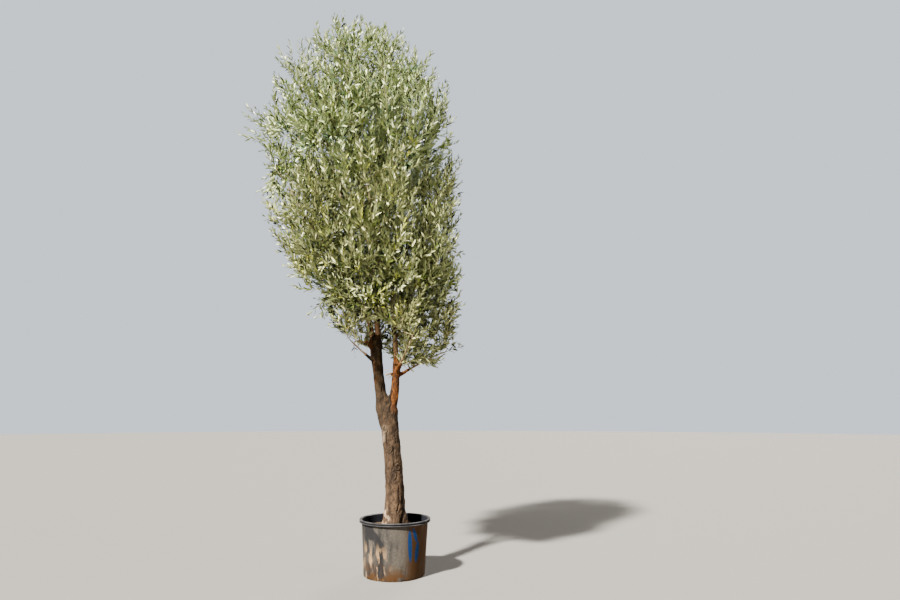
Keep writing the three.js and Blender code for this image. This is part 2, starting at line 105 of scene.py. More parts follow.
# Container and soil
POT_HEIGHT = 520
RIM_RADIUS = 350
BODY_RADIUS = 325  # outside, under the rim
BASE_RADIUS = 296  # outside, at the ground
POT_WALL = 5
RIM_HEIGHT = 30
RIM_BEAD = 6  # radius of the bead round the rim's top
RIM_GROOVE = 7  # how deep the rim is between its beads
FOOT_ROUNDING = 8
DRAIN_HOLES = 8
DRAIN_WIDTH = 34
DRAIN_HEIGHT = 16
SOIL_TOP = 452
SOIL_FALL = 14  # from the flat middle down to the wall
SOIL_FALL_FROM = 0.55  # share of the soil's radius
SOIL_ROOM = 1  # between the soil and the container

# Trunk
TRUNK_FOOT = SOIL_TOP + GAP
FORK_HEIGHT = 1640
TRUNK_LEAN = 112  # sideways at the fork
WAIST_RADIUS = 89
FLARE = 40  # added to the radius at the foot
FLARE_HEIGHT = 160
FORK_SWELL = 17  # added to the radius under the fork
FORK_SWELL_HEIGHT = 150
FORK_WIDENING = 0.16  # the trunk under the fork is this much wider than it is deep
ROOT_LOBES = 5
ROOT_LOBE_DEPTH = 0.13
DOME_FROM = 1530  # the trunk's top is rounded from here
DOME_TOP = 1662  # and would close here

# Crown
CROWN_BOTTOM = 1750
CROWN_TOP = 5800
CROWN_RADIUS = 1480  # times the profile below, which peaks at about 0.8
CROWN_DEPTH = 0.9  # front to back, as a share of its width
CROWN_FLOOR = 2090  # the lowest leaves, at the middle
CROWN_FLOOR_TILT = 0.4  # they hang lower towards +X
CROWN_LEAN = 600  # sideways at the top
CROWN_LEAN_FROM = 1900
CROWN_LEAN_TO = 4800
CELL_FLATTENING = 0.62  # heights count this much when the crown is shared out between the masses
SHOULDER = 0.3  # the crown is this share narrower high on the left, but for long shoots
SHOULDER_DROP = 360  # and lower there by this
TOP_DROP = 90  # long shoots stand this much above the rest of the crown's top
HEADS_X = -170  # middle of the opening in front of the pruned heads
HEADS_OPENING = 260  # the lowest leaves are this much higher there
RIGHTMOST = 690  # no shoot ends further out than this
DEEPEST = 1105

# Limbs and foliage
UPPER_TIPS = (5420, 5640)  # heights between which the limbs of each tier end
MIDDLE_TIPS = (3760, 3900)
SKIRT_TIPS = (2150, 2330)
ENTRY_ROOM = 45  # how deep a bough reaches into its mass's space
BOUGH_SHORTEST = 210
ROOT_SPREAD = math.radians(28)  # boughs stand this much further round the head than they lead
BOUGH_RADIUS = 25
SIDE_BOUGH_RADIUS = 17
STEM_RADIUS = 9  # where a bough enters its mass
STEM_TIP_RADIUS = 3.5
TWIG_RADIUS = 5.5
TWIG_SHORTEST = 120
TWIG_ORDERS = 3  # twigs on twigs on twigs
TWIG_SPACING = 330  # between the points that twigs lead to
LOW_SPACING = 0.72  # the low part of the crown is thinner and denser
TWIG_SLOPE = 0.75  # how steeply they rise
SKIRT_TWIG_SLOPE = 0.1
STEM_ROOTS = 30  # places on a stem that twigs may spring from
STEM_ROOTS_TO = 0.97  # share of the limb's length
BRANCH_SHARES = (0.35, 0.6, 0.85)  # where a twig's own twigs may spring from it
ALONGSIDE = 0.94  # cosine of the angle to its parent that a twig must exceed
TARGET_TRIES = 6000
TARGET_INNERMOST = 0.2  # share of the crown's reach
SPRAY_LENGTH = 380  # one leaf solid stands for a spray of real leaves
SPRAY_WIDTH = 116
SKIRT_SPRAYS = 0.78  # the sprays of the lowest masses are this much smaller
SPRAY_WIDEST = 0.42  # share of the length
SPRAYS_A_TWIG = 4
SPRAY_SPACING = 85  # between the sprays along a twig
SPRAY_ROOM = 78  # between the midribs of two sprays
SPRAY_TRIES = 9
LONG_SHOOT_SLACK = 1.15  # a few shoots stand out of the crown's outline by this much
GOLDEN_TURN = math.radians(137.508)
# Where the furthest shoots lead, sideways and in height: they stand free of the crown's outline.
FREE_SHOOTS = ((-1700, 4700), (-1640, 4460), (-1400, 5480), (-960, 5440), (280, 5420))

# Finer growth, which the solids don't have
FINE_TARGET_TRIES = 16000
FINE_INNERMOST = 0.1  # share of the crown's reach
FINE_SHORTEST = 60
FINE_LEAFY = (300, 440)  # length of a fine twig that carries leaves
FINE_SKIRT = 0.8  # the same is this share of it on the lowest masses
FINE_ONWARD = (90, 230)  # some fine twigs high up grow on past the others by this
FINE_ONWARD_CHANCE = 0.2
LEADER_REACHES = (400, 320, 240, 160)  # the longest of these that stays in the crown is grown
LEADER_SHORTEST = 110
SPRAY_REACH = 0.92  # a leafy shoot is this share of the spray that it stands for
FLOW_FROM = (-170, 0, 1900)  # shoots fan out from here, in front of the pruned heads
LEAF_SEED = 563
CLOD_SEED = 150

# Growth rule


def lerp(low, high, share):
    return low + (high - low) * share


def smoothstep(x, low, high):
    share = np.clip((x - low) / (high - low), 0, 1)
    return share * share * (3 - 2 * share)


def unit(vectors):
    return vectors / np.linalg.norm(vectors, axis=-1, keepdims=True)


def point(x, y, z):
    return np.array([x, y, z], float)


KEY_STEPS = (12.9898, 78.233, 37.719, 94.673)
CHANCE_SCALE = 43758.5453


def chance(*keys):
    """A number from 0 to 1 that depends only on the keys."""
    wave = math.sin(sum((key + 1) * step for key, step in zip(keys, KEY_STEPS))) * CHANCE_SCALE
    return wave - math.floor(wave)


def between(low, high, *keys):
    return lerp(low, high, chance(*keys))


def crown_middle(z):
    return point(-CROWN_LEAN * smoothstep(z, CROWN_LEAN_FROM, CROWN_LEAN_TO), 0, z)


def outness(place):
    """How far out from the crown's middle line a place is: 1 is the crown's surface."""
    x, y, z = place
    return math.hypot(x - crown_middle(z)[0], y / CROWN_DEPTH) / max(crown_reach(z), 1)


def crown_reach(z):
    share = min(max((z - CROWN_BOTTOM) / (CROWN_TOP - CROWN_BOTTOM), 0), 1)
    return CROWN_RADIUS * share**0.42 * math.sqrt(1 - share**5)


def in_crown(share, angle, z):
    out = share * crown_reach(z)
    return crown_middle(z) + point(math.cos(angle) * out, math.sin(angle) * out * CROWN_DEPTH, 0)


def within_crown(place, slack=1, long_shoot=False):
    """Whether a place is inside the crown's outline. Only long shoots reach past the thin shoulder high
    on the left, and it is open in front of the pruned heads."""
    x, y, z = place
    opening = (1 - smoothstep(abs(x - HEADS_X), 120, 420)) * (1 - smoothstep(y, -50, 150))
    floor = CROWN_FLOOR - CROWN_FLOOR_TILT * x + HEADS_OPENING * opening
    drop = 0 if long_shoot else lerp(SHOULDER_DROP, TOP_DROP, smoothstep(x, -900, -450))
    if z > CROWN_TOP - drop or z < floor:
        return False
    x -= crown_middle(z)[0]
    angle = math.atan2(y, x)
    wave = 0.07 * math.sin(3 * angle + z / 310) + 0.05 * math.sin(7 * angle - z / 170)
    reach = crown_reach(z) * (1 + wave) * slack
    if long_shoot:
        reach *= LONG_SHOOT_SLACK
    else:
        reach *= 1 - SHOULDER * smoothstep(z, 3000, 5100) * max(0, -math.cos(angle))
    return math.hypot(x, y / CROWN_DEPTH) <= reach


def in_dense_crown(place):
    """Where fine twigs fill the crown: open here and there, where the sky shows through."""
    x, y, z = place
    gap = noise.noise(Vector((x / 330, y / 330, z / 420)))
    hem = 110 + 150 * noise.noise(Vector((x / 150, y / 150, 4.0)))
    thin = 0.22 * smoothstep(z, 3900, 5200) + 0.3 * smoothstep(z, 3700, 4600) * smoothstep(-x, 700, 1150)
    return gap > thin - 0.34 and within_crown(point(x, y, z - max(0, hem))) and within_crown(place, 0.97)


class Arc:
    """A curve from its root towards a bend and on to its tip."""

    def __init__(self, root, bend, tip):
        self.root, self.bend, self.tip = root, bend, tip

    def at(self, share):
        t = np.asarray(share, float)[..., None]
        return (1 - t) ** 2 * self.root + 2 * (1 - t) * t * self.bend + t * t * self.tip

    def heading(self, share):
        t = np.asarray(share, float)[..., None]
        return unit((1 - t) * (self.bend - self.root) + t * (self.tip - self.bend))


class Spline:
    """A smooth curve through points, with the knots spread by the square root of the distance."""

    def __init__(self, *points):
        self.points = np.array(points, float)

    def at(self, share):
        share = np.asarray(share, float)
        if share.ndim:
            return np.array([self.at(one) for one in share])
        last = len(self.points) - 1
        span = min(int(share * last), last - 1)
        weight = share * last - span
        padded = np.vstack(
            [2 * self.points[0] - self.points[1], self.points, 2 * self.points[-1] - self.points[-2]]
        )
        p0, p1, p2, p3 = padded[span : span + 4]
        d0, d1, d2 = (math.sqrt(np.linalg.norm(b - a)) for a, b in ((p0, p1), (p1, p2), (p2, p3)))
        out = ((p1 - p0) / d0 - (p2 - p0) / (d0 + d1) + (p2 - p1) / d1) * d1
        into = ((p2 - p1) / d1 - (p3 - p1) / (d1 + d2) + (p3 - p2) / d2) * d1
        bend = -3 * p1 + 3 * p2 - 2 * out - into
        return p1 + out * weight + bend * weight**2 + (2 * p1 - 2 * p2 + out + into) * weight**3


def curve_length(curve, steps):
    return np.linalg.norm(np.diff(curve.at(np.linspace(0, 1, steps)), axis=0), axis=1).sum()


STEM_LEFT = Spline((-150, 8, 1560), (-172, 14, 1740), (-198, 20, 1930), (-226, 22, 2150), (-230, 22, 2275))
STEM_RIGHT = Spline((-52, -14, 1560), (-26, -24, 1730), (-14, -30, 1900), (-4, -34, 2050))
STUB = Arc(point(-222, 10, 2150), point(-280, -6, 2209), point(-338, -22, 2268))


def left_radius(share):
    return 63 - 9 * math.sin(math.pi * min(1, share * 1.15)) + 4 * share


def right_radius(share):
    return 48 - 9 * share


def stub_radius(share):
    return 30 - 6 * share


def trunk_middle(z):
    return point(-TRUNK_LEAN * ((z - TRUNK_FOOT) / (FORK_HEIGHT - TRUNK_FOOT)) ** 2, 0, z)


class Mass:
    """One mass of foliage: its own space in the crown, and the limb that carries it."""

    def __init__(self, tier, tier_number, i, count, turn, height, spread):
        self.tier, self.i = tier, i
        self.angle = math.radians(turn) + i / count * TURN
        self.seed = in_crown(spread, self.angle, height + between(-70, 70, tier_number, i, 0))
        self.targets = []

    def bough_radius(self, share):
        thick = BOUGH_RADIUS if self.tier == "upper" else SIDE_BOUGH_RADIUS
        return lerp(thick, STEM_RADIUS, share**0.8)

    def limb_curve(self, masses):
        i, angle = self.i, self.angle
        outward = point(math.cos(angle), math.sin(angle), 0)
        if self.tier == "upper":
            on_right = outward[0] > 0.3
            stem = STEM_RIGHT if on_right else STEM_LEFT
            side = math.copysign(TURN / 4, outward[1]) if on_right else angle + (i - 2.5) * ROOT_SPREAD
            root = stem.at(0.94 if on_right else 0.96 - 0.03 * (i % 2))
            root = root + point(math.cos(side), math.sin(side), 0) * (24 if on_right else 38)
            tip = in_crown(0.62, angle, between(*UPPER_TIPS, 1, i, 1))
            return Arc(root, in_crown(0.2, angle, 3350), tip)
        if self.tier == "middle":
            tip = in_crown(0.8, angle, between(*MIDDLE_TIPS, 2, i, 1))
            return Arc(masses[i].curve.at(0.1 + 0.05 * (i % 2)), in_crown(0.52, angle, 2780), tip)
        on_right = outward[0] > 0.1
        root = (STEM_RIGHT if on_right else STEM_LEFT).at((0.66 if on_right else 0.62) + 0.09 * (i % 3))
        bend = root + outward * 330 + UP * 200
        return Arc(root, bend, in_crown(0.92, angle, between(*SKIRT_TIPS, 3, i, 1)))


TIERS = (
    ("upper", 6, 28, 4750, 0.56),
    ("middle", 6, 40, 3180, 0.6),
    ("skirt", 5, 4, 2130, 0.66),
)


def line_distances(start, end, starts, ends):
    """How near a straight line comes to each of many others."""
    d1, d2, between_starts = end - start, ends - starts, start - starts
    a, e, f = d1 @ d1, (d2 * d2).sum(1), (d2 * between_starts).sum(1)
    b, c = d2 @ d1, between_starts @ d1
    flat = a * e - b * b
    s = np.where(flat > 1e-9, np.clip((b * f - c * e) / np.maximum(flat, 1e-9), 0, 1), 0)
    t = (b * s + f) / e
    s = np.where(t < 0, np.clip(-c / a, 0, 1), np.where(t > 1, np.clip((b - c) / a, 0, 1), s))
    gap = start + d1 * s[:, None] - starts - d2 * np.clip(t, 0, 1)[:, None]
    return np.linalg.norm(gap, axis=1)


def halton(index, base):
    result, share = 0.0, 1 / base
    while index > 0:
        result += (index % base) * share
        index //= base
        share /= base
    return result


def across(along):
    """Two directions square to a limb's own."""
    first = np.cross(UP, along)
    if first @ first < 1e-6:
        first = point(1, 0, 0)
    first = unit(first)
    return first, unit(np.cross(along, first))


def crown_sample(number, innermost):
    """One of a series of points that fill the crown evenly."""
    z = lerp(CROWN_BOTTOM, CROWN_TOP, halton(number, 2))
    share = math.sqrt(lerp(innermost**2, 1, halton(number, 5)))
    return in_crown(share, halton(number, 3) * TURN, z)


class Crown:
    """The whole growth: masses with their limbs, and each mass's twigs and sprays."""

    def __init__(self):
        self.masses = []
        for tier_number, (tier, count, turn, height, spread) in enumerate(TIERS):
            for i in range(count):
                self.masses.append(Mass(tier, tier_number, i, count, turn, height, spread))
        self.seeds = np.array([mass.seed for mass in self.masses])
        for number, mass in enumerate(self.masses):
            mass.number = number
            mass.curve = mass.limb_curve(self.masses)
            mass.entry = self.entry_of(mass)
        self.gather_limbs()
        self.scatter_targets()
        for mass in self.masses:
            self.grow(mass)

    def room(self, number, places):
        """How far places are inside the space of one mass."""
        others = np.delete(self.seeds, number, axis=0)
        normals = self.seeds[number] - others
        normals[:, 2] *= CELL_FLATTENING**2
        halfway = (self.seeds[number] + others) / 2
        normals = unit(normals)
        return (np.atleast_2d(places) @ normals.T - (halfway * normals).sum(1)).min(1)

    def entry_of(self, mass):
        shares = np.arange(1, 401) / 400
        places = mass.curve.at(shares)
        far = np.linalg.norm(places - mass.curve.at(0), axis=1) > BOUGH_SHORTEST
        entered = (self.room(mass.number, places) > ENTRY_ROOM) & far
        return shares[np.argmax(entered)] if entered.any() else 1.0

    def gather_limbs(self):
        starts, ends, radii = [], [], []

        def stretches(curve, until, radius_at, count):
            for k in range(count):
                starts.append(curve.at(until * k / count))
                ends.append(curve.at(until * (k + 1) / count))
                radii.append(max(radius_at(k / count), radius_at((k + 1) / count)))

        stretches(STEM_LEFT, 1, left_radius, 6)
        stretches(STEM_RIGHT, 1, right_radius, 6)
        stretches(STUB, 1, stub_radius, 1)
        for mass in self.masses:
            stretches(mass.curve, mass.entry, mass.bough_radius, 12)
        starts.append(trunk_middle(TRUNK_FOOT))
        ends.append(trunk_middle(FORK_HEIGHT))
        radii.append(WAIST_RADIUS + FORK_SWELL + FORK_WIDENING * WAIST_RADIUS)
        self.limb_starts, self.limb_ends, self.limb_radii = map(np.array, (starts, ends, radii))

    def clear_of_limbs(self, start, end, radius):
        gaps = line_distances(start, end, self.limb_starts, self.limb_ends)
        return bool((gaps > self.limb_radii + radius + LIMB_ROOM).all())

    def owner_of(self, target):
        """The mass whose space a point is well inside, or None."""
        return next((mass for mass in self.masses if self.room(mass.number, target)[0] > CELL_EDGE), None)

    def scatter_targets(self):
        """Points that the twigs of each mass lead to."""
        taken = np.array([(x, 0, z) for x, z in FREE_SHOOTS], float)
        for target in taken:
            mass = self.owner_of(target)
            if mass:
                mass.targets.append(target)
        for number in range(1, TARGET_TRIES):
            target = crown_sample(number, TARGET_INNERMOST)
            spacing = TWIG_SPACING * lerp(LOW_SPACING, 1, smoothstep(target[2], 2000, 3300))
            crowded = (np.linalg.norm(taken - target, axis=1) < spacing).any()
            mass = None if crowded or not within_crown(target) else self.owner_of(target)
            if mass:
                mass.targets.append(target)
                taken = np.vstack([taken, target])

    def scatter_fine_targets(self, spacing, low_spacing):
        """Closer points between the others, each with the number of the mass whose space it is in."""
        taken, found = np.empty((0, 3)), []
        flattened = np.array([1, 1, CELL_FLATTENING])
        for number in range(TARGET_TRIES, TARGET_TRIES + FINE_TARGET_TRIES):
            target = crown_sample(number, FINE_INNERMOST)
            room = lerp(low_spacing, spacing, smoothstep(target[2], 2600, 4200))
            if len(taken) and (((taken - target) ** 2).sum(1) < room**2).any():
                continue
            if not in_dense_crown(target) or not self.clear_of_limbs(target, target + UP, 20):
                continue
            taken = np.vstack([taken, target])
            offsets = (self.seeds - target) * flattened
            found.append((int(np.argmin((offsets**2).sum(1))), target))
        return found

    def grow(self, mass):
        """The mass's twigs and sprays, near targets first, so that far ones branch from them."""
        mass.twigs, mass.sprays, lines = [], [], []
        stem_from = mass.entry + GAP / curve_length(mass.curve, 200)
        shares = stem_from + (STEM_ROOTS_TO - stem_from) * (np.arange(STEM_ROOTS) + 0.5) / STEM_ROOTS
        stem_points = mass.curve.at(shares)
        stem_ways = [(root, 1, None, share) for root, share in zip(stem_points, shares)]
        nearest = [np.linalg.norm(stem_points - target, axis=1).min() for target in mass.targets]
        for index in np.argsort(nearest, kind="stable"):
            for twig in self.twigs_to(mass.targets[index], mass, stem_ways):
                if self.spray_of(mass, twig, len(mass.twigs), 0, lines):
                    mass.twigs.append(twig)
                    break
        for number, twig in enumerate(mass.twigs):
            for k in range(1, SPRAYS_A_TWIG):
                self.spray_of(mass, twig, number, k, lines)

    def twigs_to(self, target, mass, stem_ways):
        """Twigs to a target, from the stem or from another twig: the shortest and straightest first."""
        slope = SKIRT_TWIG_SLOPE if mass.tier == "skirt" else TWIG_SLOPE
        ways = list(stem_ways)
        for parent in mass.twigs:
            if parent["order"] < TWIG_ORDERS:
                for share in BRANCH_SHARES:
                    root = parent["root"] + parent["heading"] * share * parent["woody"]
                    ways.append((root, parent["order"] + 1, parent, share))
        headings = target - np.array([way[0] for way in ways])
        lengths = np.linalg.norm(headings, axis=1)
        detour = np.abs(headings[:, 2] - np.hypot(headings[:, 0], headings[:, 1]) * slope)
        for j in np.argsort(lengths + detour, kind="stable"):
            root, order, parent, share = ways[j]
            length, heading = lengths[j], headings[j] / lengths[j]
            alongside = parent is not None and parent["heading"] @ heading > ALONGSIDE
            if length < TWIG_SHORTEST or alongside:
                continue
            if not self.clear_of_limbs(root + heading * STEM_RADIUS, target, TWIG_RADIUS):
                continue
            twig = dict(root=root, heading=heading, length=length, order=order, parent=parent, share=share)
            twig["woody"] = max(length - SPRAY_LENGTH * 0.5, length * 0.3)
            twig["long_shoot"] = len(mass.twigs) % 4 == 1
            twig["free"] = tuple(target[::2]) in FREE_SHOOTS
            yield twig

    def spray_of(self, mass, twig, number, k, lines):
        """One spray, turned on round its twig and made shorter until it fits, or None."""
        m, heading = mass.number, twig["heading"]
        side, face = across(heading)
        place = max(twig["woody"] - k * SPRAY_SPACING, twig["length"] * 0.1)
        root = twig["root"] + heading * place
        for attempt in range(SPRAY_TRIES):
            turn = (k + attempt) * GOLDEN_TURN + between(0, TURN, m, number)
            tilt = 0.1 + 0.08 * attempt
            if k:
                tilt = math.radians(between(30, 55, m, number, k + attempt, 3))
            axis = heading * math.cos(tilt) + side * (math.sin(tilt) * math.cos(turn))
            axis = axis + face * (math.sin(tilt) * math.sin(turn))
            axis = unit(axis + UP * (-0.05 if mass.tier == "skirt" else 0.12))
            first, second = across(axis)
            roll = between(0, math.pi, m, number, k + attempt, 2)
            width = first * math.cos(roll) + second * math.sin(roll)
            size = (SKIRT_SPRAYS if mass.tier == "skirt" else 1) * between(0.85, 1.1, m, number, k, 1)
            size *= 1 - 0.035 * attempt
            reach, half = SPRAY_LENGTH * size, SPRAY_WIDTH * size / 2
            tip, middle = root + axis * reach, root + axis * reach * SPRAY_WIDEST
            ends = np.array([tip, middle + width * half, middle - width * half])
            if (self.room(m, ends) <= CELL_EDGE).any():
                continue
            if not twig["free"] and not within_crown(tip, 1.06, twig["long_shoot"]):
                continue
            if not self.clear_of_limbs(root, tip, half):
                continue
            start = lerp(root, tip, 0.2)
            if lines:
                starts, tips = (np.array(part) for part in zip(*lines))
                if (line_distances(start, tip, starts, tips) <= SPRAY_ROOM).any():
                    continue
            lines.append((start, tip))
            spray = dict(twig=twig, place=place / twig["woody"], axis=axis, width=width, length=reach, k=k)
            mass.sprays.append(spray)
            return spray
        return None


# Finer growth: what one spray of the solids stands for

# Of these kinds, silver tops are painted glints and deep green tops are painted shade.
GREY, DEEP_SHADED, FRESH, YELLOW, GLINT, BLUE = range(6)  # kinds of leaf, by the colour of their tops
WOOD_THICKNESS = {1: 5.2, 2: 4.0, 3: 3.2}  # radius of a twig at its root, by its order
WOOD_TIP = 2.4
SHOOT_TIP = 0.9
SHORT_SHOOT = 260  # a shorter shoot needs fewer steps
# Silver leaves are painted glints, and deep green ones painted shade:
GLINT_SHARE = 0.25  # share of the leaves that is silver at the crown's edge
DEEP_SHADED_SHARE = 0.37  # and that is deep green everywhere


class Foliage:
    """Every woody twig, leafy shoot and leaf, as arrays sorted by the piece they belong to."""

    def __init__(self, crown, look):
        self.crown, self.look = crown, look
        self.random = np.random.default_rng(LEAF_SEED)
        self.wood = {tier: [] for tier, *_ in TIERS}
        self.leaves = {}
        self.springs = {mass.number: [] for mass in crown.masses}
        for mass in crown.masses:
            self.leader(mass)
            for twig in mass.twigs:
                self.bow(twig, mass)
            for spray in mass.sprays:
                self.clothe(spray, mass)
        self.fill()

    def bow(self, twig, mass):
        """A woody twig that leaves its parent on the parent's own bowed line."""
        parent = twig["parent"]
        start = twig["root"] if parent is None else parent["curve"].at(twig["share"])
        end = twig["root"] + twig["heading"] * twig["woody"]
        side = unit(np.cross(twig["heading"], unit(self.random.normal(size=3))))
        sag = UP * (0.04 if mass.tier == "skirt" else -0.1)
        bend = (side * self.random.uniform(0.02, 0.07) + sag) * np.linalg.norm(end - start)
        curve = twig["curve"] = Arc(start, (start + end) / 2 + bend, end)
        radii = np.linspace(WOOD_THICKNESS[twig["order"]], WOOD_TIP, 7)
        self.wood[mass.tier].append((curve.at(np.linspace(0, 1, 7)), radii))
        shares = np.linspace(0.12, 0.95, 6)
        self.springs[mass.number] += list(zip(curve.at(shares), curve.heading(shares)))

    def leader(self, mass):
        """The limb's own tip grows on as a leafy shoot."""
        tip, heading = mass.curve.at(1.0), mass.curve.heading(1.0)
        reaches = (reach for reach in LEADER_REACHES if within_crown(tip + heading * reach, 1, True))
        reach = next(reaches, LEADER_SHORTEST)
        self.shoot(mass, Arc(tip, tip + heading * reach / 2, tip + heading * reach), GREY, 3.2)
        shares = np.linspace(mass.entry * 0.72, 0.99, 30)
        self.springs[mass.number] += list(zip(mass.curve.at(shares), mass.curve.heading(shares)))

    def clothe(self, spray, mass):
        """A main shoot along the spray, and side shoots within its breadth."""
        root = spray["twig"]["curve"].at(spray["place"])
        axis, width, reach = spray["axis"], spray["width"], spray["length"] * SPRAY_REACH
        tint = self.tint_of(root + axis * reach / 2)
        tip = root + unit(axis + self.flow_at(root, mass) * 0.35) * reach
        main = Arc(root, root + axis * reach / 2, tip)
        self.shoot(mass, main, tint, 2.4 if spray["k"] == 0 else 2.0)
        self.side_shoots(mass, main, width, reach * 0.5, tint, self.look.side_shoots)
        self.springs[mass.number] += list(zip(main.at([0.25, 0.6]), main.heading([0.25, 0.6])))

    def side_shoots(self, mass, main, width, reach, tint, count):
        for j in range(count):
            share = 0.12 + 0.62 * (j + self.random.uniform(0, 1)) / max(count, 1)
            start, axis = main.at(share), main.heading(share)
            face = np.cross(axis, width)
            angle, lift = math.radians(self.random.uniform(24, 46)), self.random.uniform(-0.6, 0.6)
            sideways = width * (1 if j % 2 == 0 else -1) + face * lift
            heading = unit(axis * math.cos(angle) + unit(sideways) * math.sin(angle))
            length = reach * self.random.uniform(0.75, 1.15)
            rise = -0.05 if mass.tier == "skirt" else lerp(0.08, 0.3, smoothstep(start[2], 2800, 4800))
            tip = start + heading * length + UP * length * rise
            if within_crown(tip, 1.12):
                side = Arc(start, start + heading * length / 2, tip)
                self.shoot(mass, side, self.side_tint(tint, tip), 1.5)

    def fill(self):
        """Fine twigs fill the crown between the sprays, each grown from the wood that is nearest."""
        springs = {
            number: tuple(np.array(part) for part in zip(*self.springs[number])) for number in self.springs
        }
        look = self.look
        spacings = look.fine_spacing * METRE, look.low_spacing * METRE
        for number, target in self.crown.scatter_fine_targets(*spacings):
            mass = self.crown.masses[number]
            roots, headings = springs[number]
            flow = self.flow_at(target, mass)
            reach = self.random.uniform(*FINE_LEAFY) * (FINE_SKIRT if mass.tier == "skirt" else 1)
            if mass.tier == "upper" and self.random.uniform() < FINE_ONWARD_CHANCE:
                onward = target + flow * self.random.uniform(*FINE_ONWARD)
                target = onward if within_crown(onward, 0.97, True) else target
            offsets = target - flow * reach * 0.75 - roots
            ahead = unit(target - roots)
            apart = np.linalg.norm(target - roots, axis=1)
            behind = np.maximum(0, 0.55 - (ahead * headings).sum(1)) + np.maximum(0, 0.5 - ahead @ flow)
            cost = np.linalg.norm(offsets, axis=1) + apart * behind + (apart < FINE_SHORTEST) * 1e6
            best = int(np.argmin(cost))
            root, length = roots[best], apart[best]
            twig = Arc(root, target - flow * length * 0.5, target)
            tint = self.tint_of(target)
            leafy = min(1, reach / length)
            self.shoot(mass, twig, tint, lerp(1.6, 3.0, min(length / 600, 1)), bare=1 - leafy * 0.96)
            sideways = unit(np.cross(flow, unit(self.random.normal(size=3))))
            leafy_part = Arc(twig.at(1 - leafy), twig.at(1 - leafy / 2), target)
            self.side_shoots(mass, leafy_part, sideways, reach * 0.5, tint, look.side_shoots)

    def flow_at(self, place, mass):
        """The way that shoots grow: up, and fanning out from the heads of the stems."""
        out = unit(place - point(*FLOW_FROM))
        rise = lerp(0.15, 1.05, smoothstep(place[2], 2300, 3400)) if mass.tier != "skirt" else 0.0
        return unit(out + UP * rise + 0.16 * self.random.normal(size=3))

    def tint_of(self, place):
        """A kind of leaf: deep green inside the crown, standing for painted shade, and a mixture with
        blue-green high up and yellow-green low down at its edge."""
        out = outness(place)
        # Painted shade: leaves deep inside the crown are deep green.
        if self.random.uniform() > smoothstep(out, 0.1, 0.75):
            return DEEP_SHADED
        fresh = 0.25 + 0.35 * smoothstep(place[2], 2900, 4600) + 0.25 * (out - 0.5)
        if self.random.uniform() < 0.75 * smoothstep(place[2], 3200, 5300):
            return BLUE
        pick = self.random.uniform()
        if pick < lerp(0.17, 0.05, smoothstep(place[2], 3900, 5000)):
            return YELLOW
        if pick < fresh:
            return FRESH
        return DEEP_SHADED if self.random.uniform() < 0.5 else GREY

    def side_tint(self, tint, place):
        """Side shoots often differ from the shoot that they grow on."""
        return tint if self.random.uniform() < 0.5 else self.tint_of(place)

    def shoot(self, mass, curve, tint, thick, bare=0.08):
        """A slender shoot with opposite pairs of leaves, each pair turned across the last."""
        if curve.tip[0] > RIGHTMOST or abs(curve.tip[1]) > DEEPEST:
            return
        reach = np.linalg.norm(curve.bend - curve.root) + np.linalg.norm(curve.tip - curve.bend)
        steps = 4 if reach < SHORT_SHOOT else 6
        radii = np.linspace(thick, SHOOT_TIP, steps)
        self.wood[mass.tier].append((curve.at(np.linspace(0, 1, steps)), radii))
        pairs = max(2, int(reach * (1 - bare) / self.look.pair_spacing_mm))
        share = (np.arange(pairs) + self.random.uniform(-0.2, 0.2, pairs)) / (pairs - 1)
        t = np.clip(lerp(bare, 1.0, share), 0.03, 1.0)
        places, along = curve.at(t), curve.heading(t)
        first = unit(np.cross(along, unit(self.random.normal(size=3))))
        second = np.cross(along, first)
        turn = np.arange(pairs) * (math.pi / 2) + self.random.uniform(-0.3, 0.3, pairs)
        side = first * np.cos(turn)[:, None] + second * np.sin(turn)[:, None]
        for sign in (1, -1):
            leaves = self.leaf_row(places, along, side * sign, share)
            pick = self.random.uniform(size=pairs)
            # Painted glints: a share of the leaves near the crown's edge get nearly white tops.
            glinting = pick < GLINT_SHARE * smoothstep(outness(curve.tip), 0.3, 0.75)
            # Painted shade: another share of the leaves get deep green, nearly black tops.
            dark = pick > 1 - DEEP_SHADED_SHARE
            for kind, chosen in ((GLINT, glinting), (DEEP_SHADED, dark), (tint, ~glinting & ~dark)):
                if chosen.any():
                    group = self.leaves.setdefault((mass.tier, kind), [])
                    group.append(tuple(part[chosen] for part in leaves))

    def leaf_row(self, places, along, side, share):
        """One leaf at each place: its root, direction, face, length, breadth and curl."""
        random, count = self.random, len(places)
        spread = np.radians(random.uniform(24, 48, count)) * lerp(1.0, 0.45, share**3)
        blade = along * np.cos(spread)[:, None] + side * np.sin(spread)[:, None]
        blade = unit(blade + UP * random.uniform(-0.12, 0.16, count)[:, None])
        face = along - blade * (along * blade).sum(1)[:, None]
        face = unit(unit(face) + 0.5 * UP + 0.55 * random.normal(size=(count, 3)))
        face = unit(face - blade * (face * blade).sum(1)[:, None])
        size = self.look.leaf_length * METRE * random.uniform(0.72, 1.12, count) * lerp(1.0, 0.62, share**4)
        wide = size * self.look.leaf_slimness * random.uniform(0.85, 1.15, count)
        return places, blade, face, size, wide, random.uniform(-0.03, 0.1, count)


# A leaf's corners: how far along, how far aside and how high they are, and which of them make each face
LEAF_X = np.array([0, 0.32, 0.32, 0.5, 0.68, 0.68, 1])
LEAF_Y = np.array([0, -0.47, 0.47, 0, -0.4, 0.4, 0])
LEAF_FOLD = np.array([0, 0.2, 0.2, 0, 0.17, 0.17, 0.02])
LEAF_CURL = LEAF_X**2
LEAF_CORNERS = np.array([0, 1, 3, 0, 3, 2, 1, 4, 3, 3, 5, 2, 4, 6, 3, 3, 6, 5])


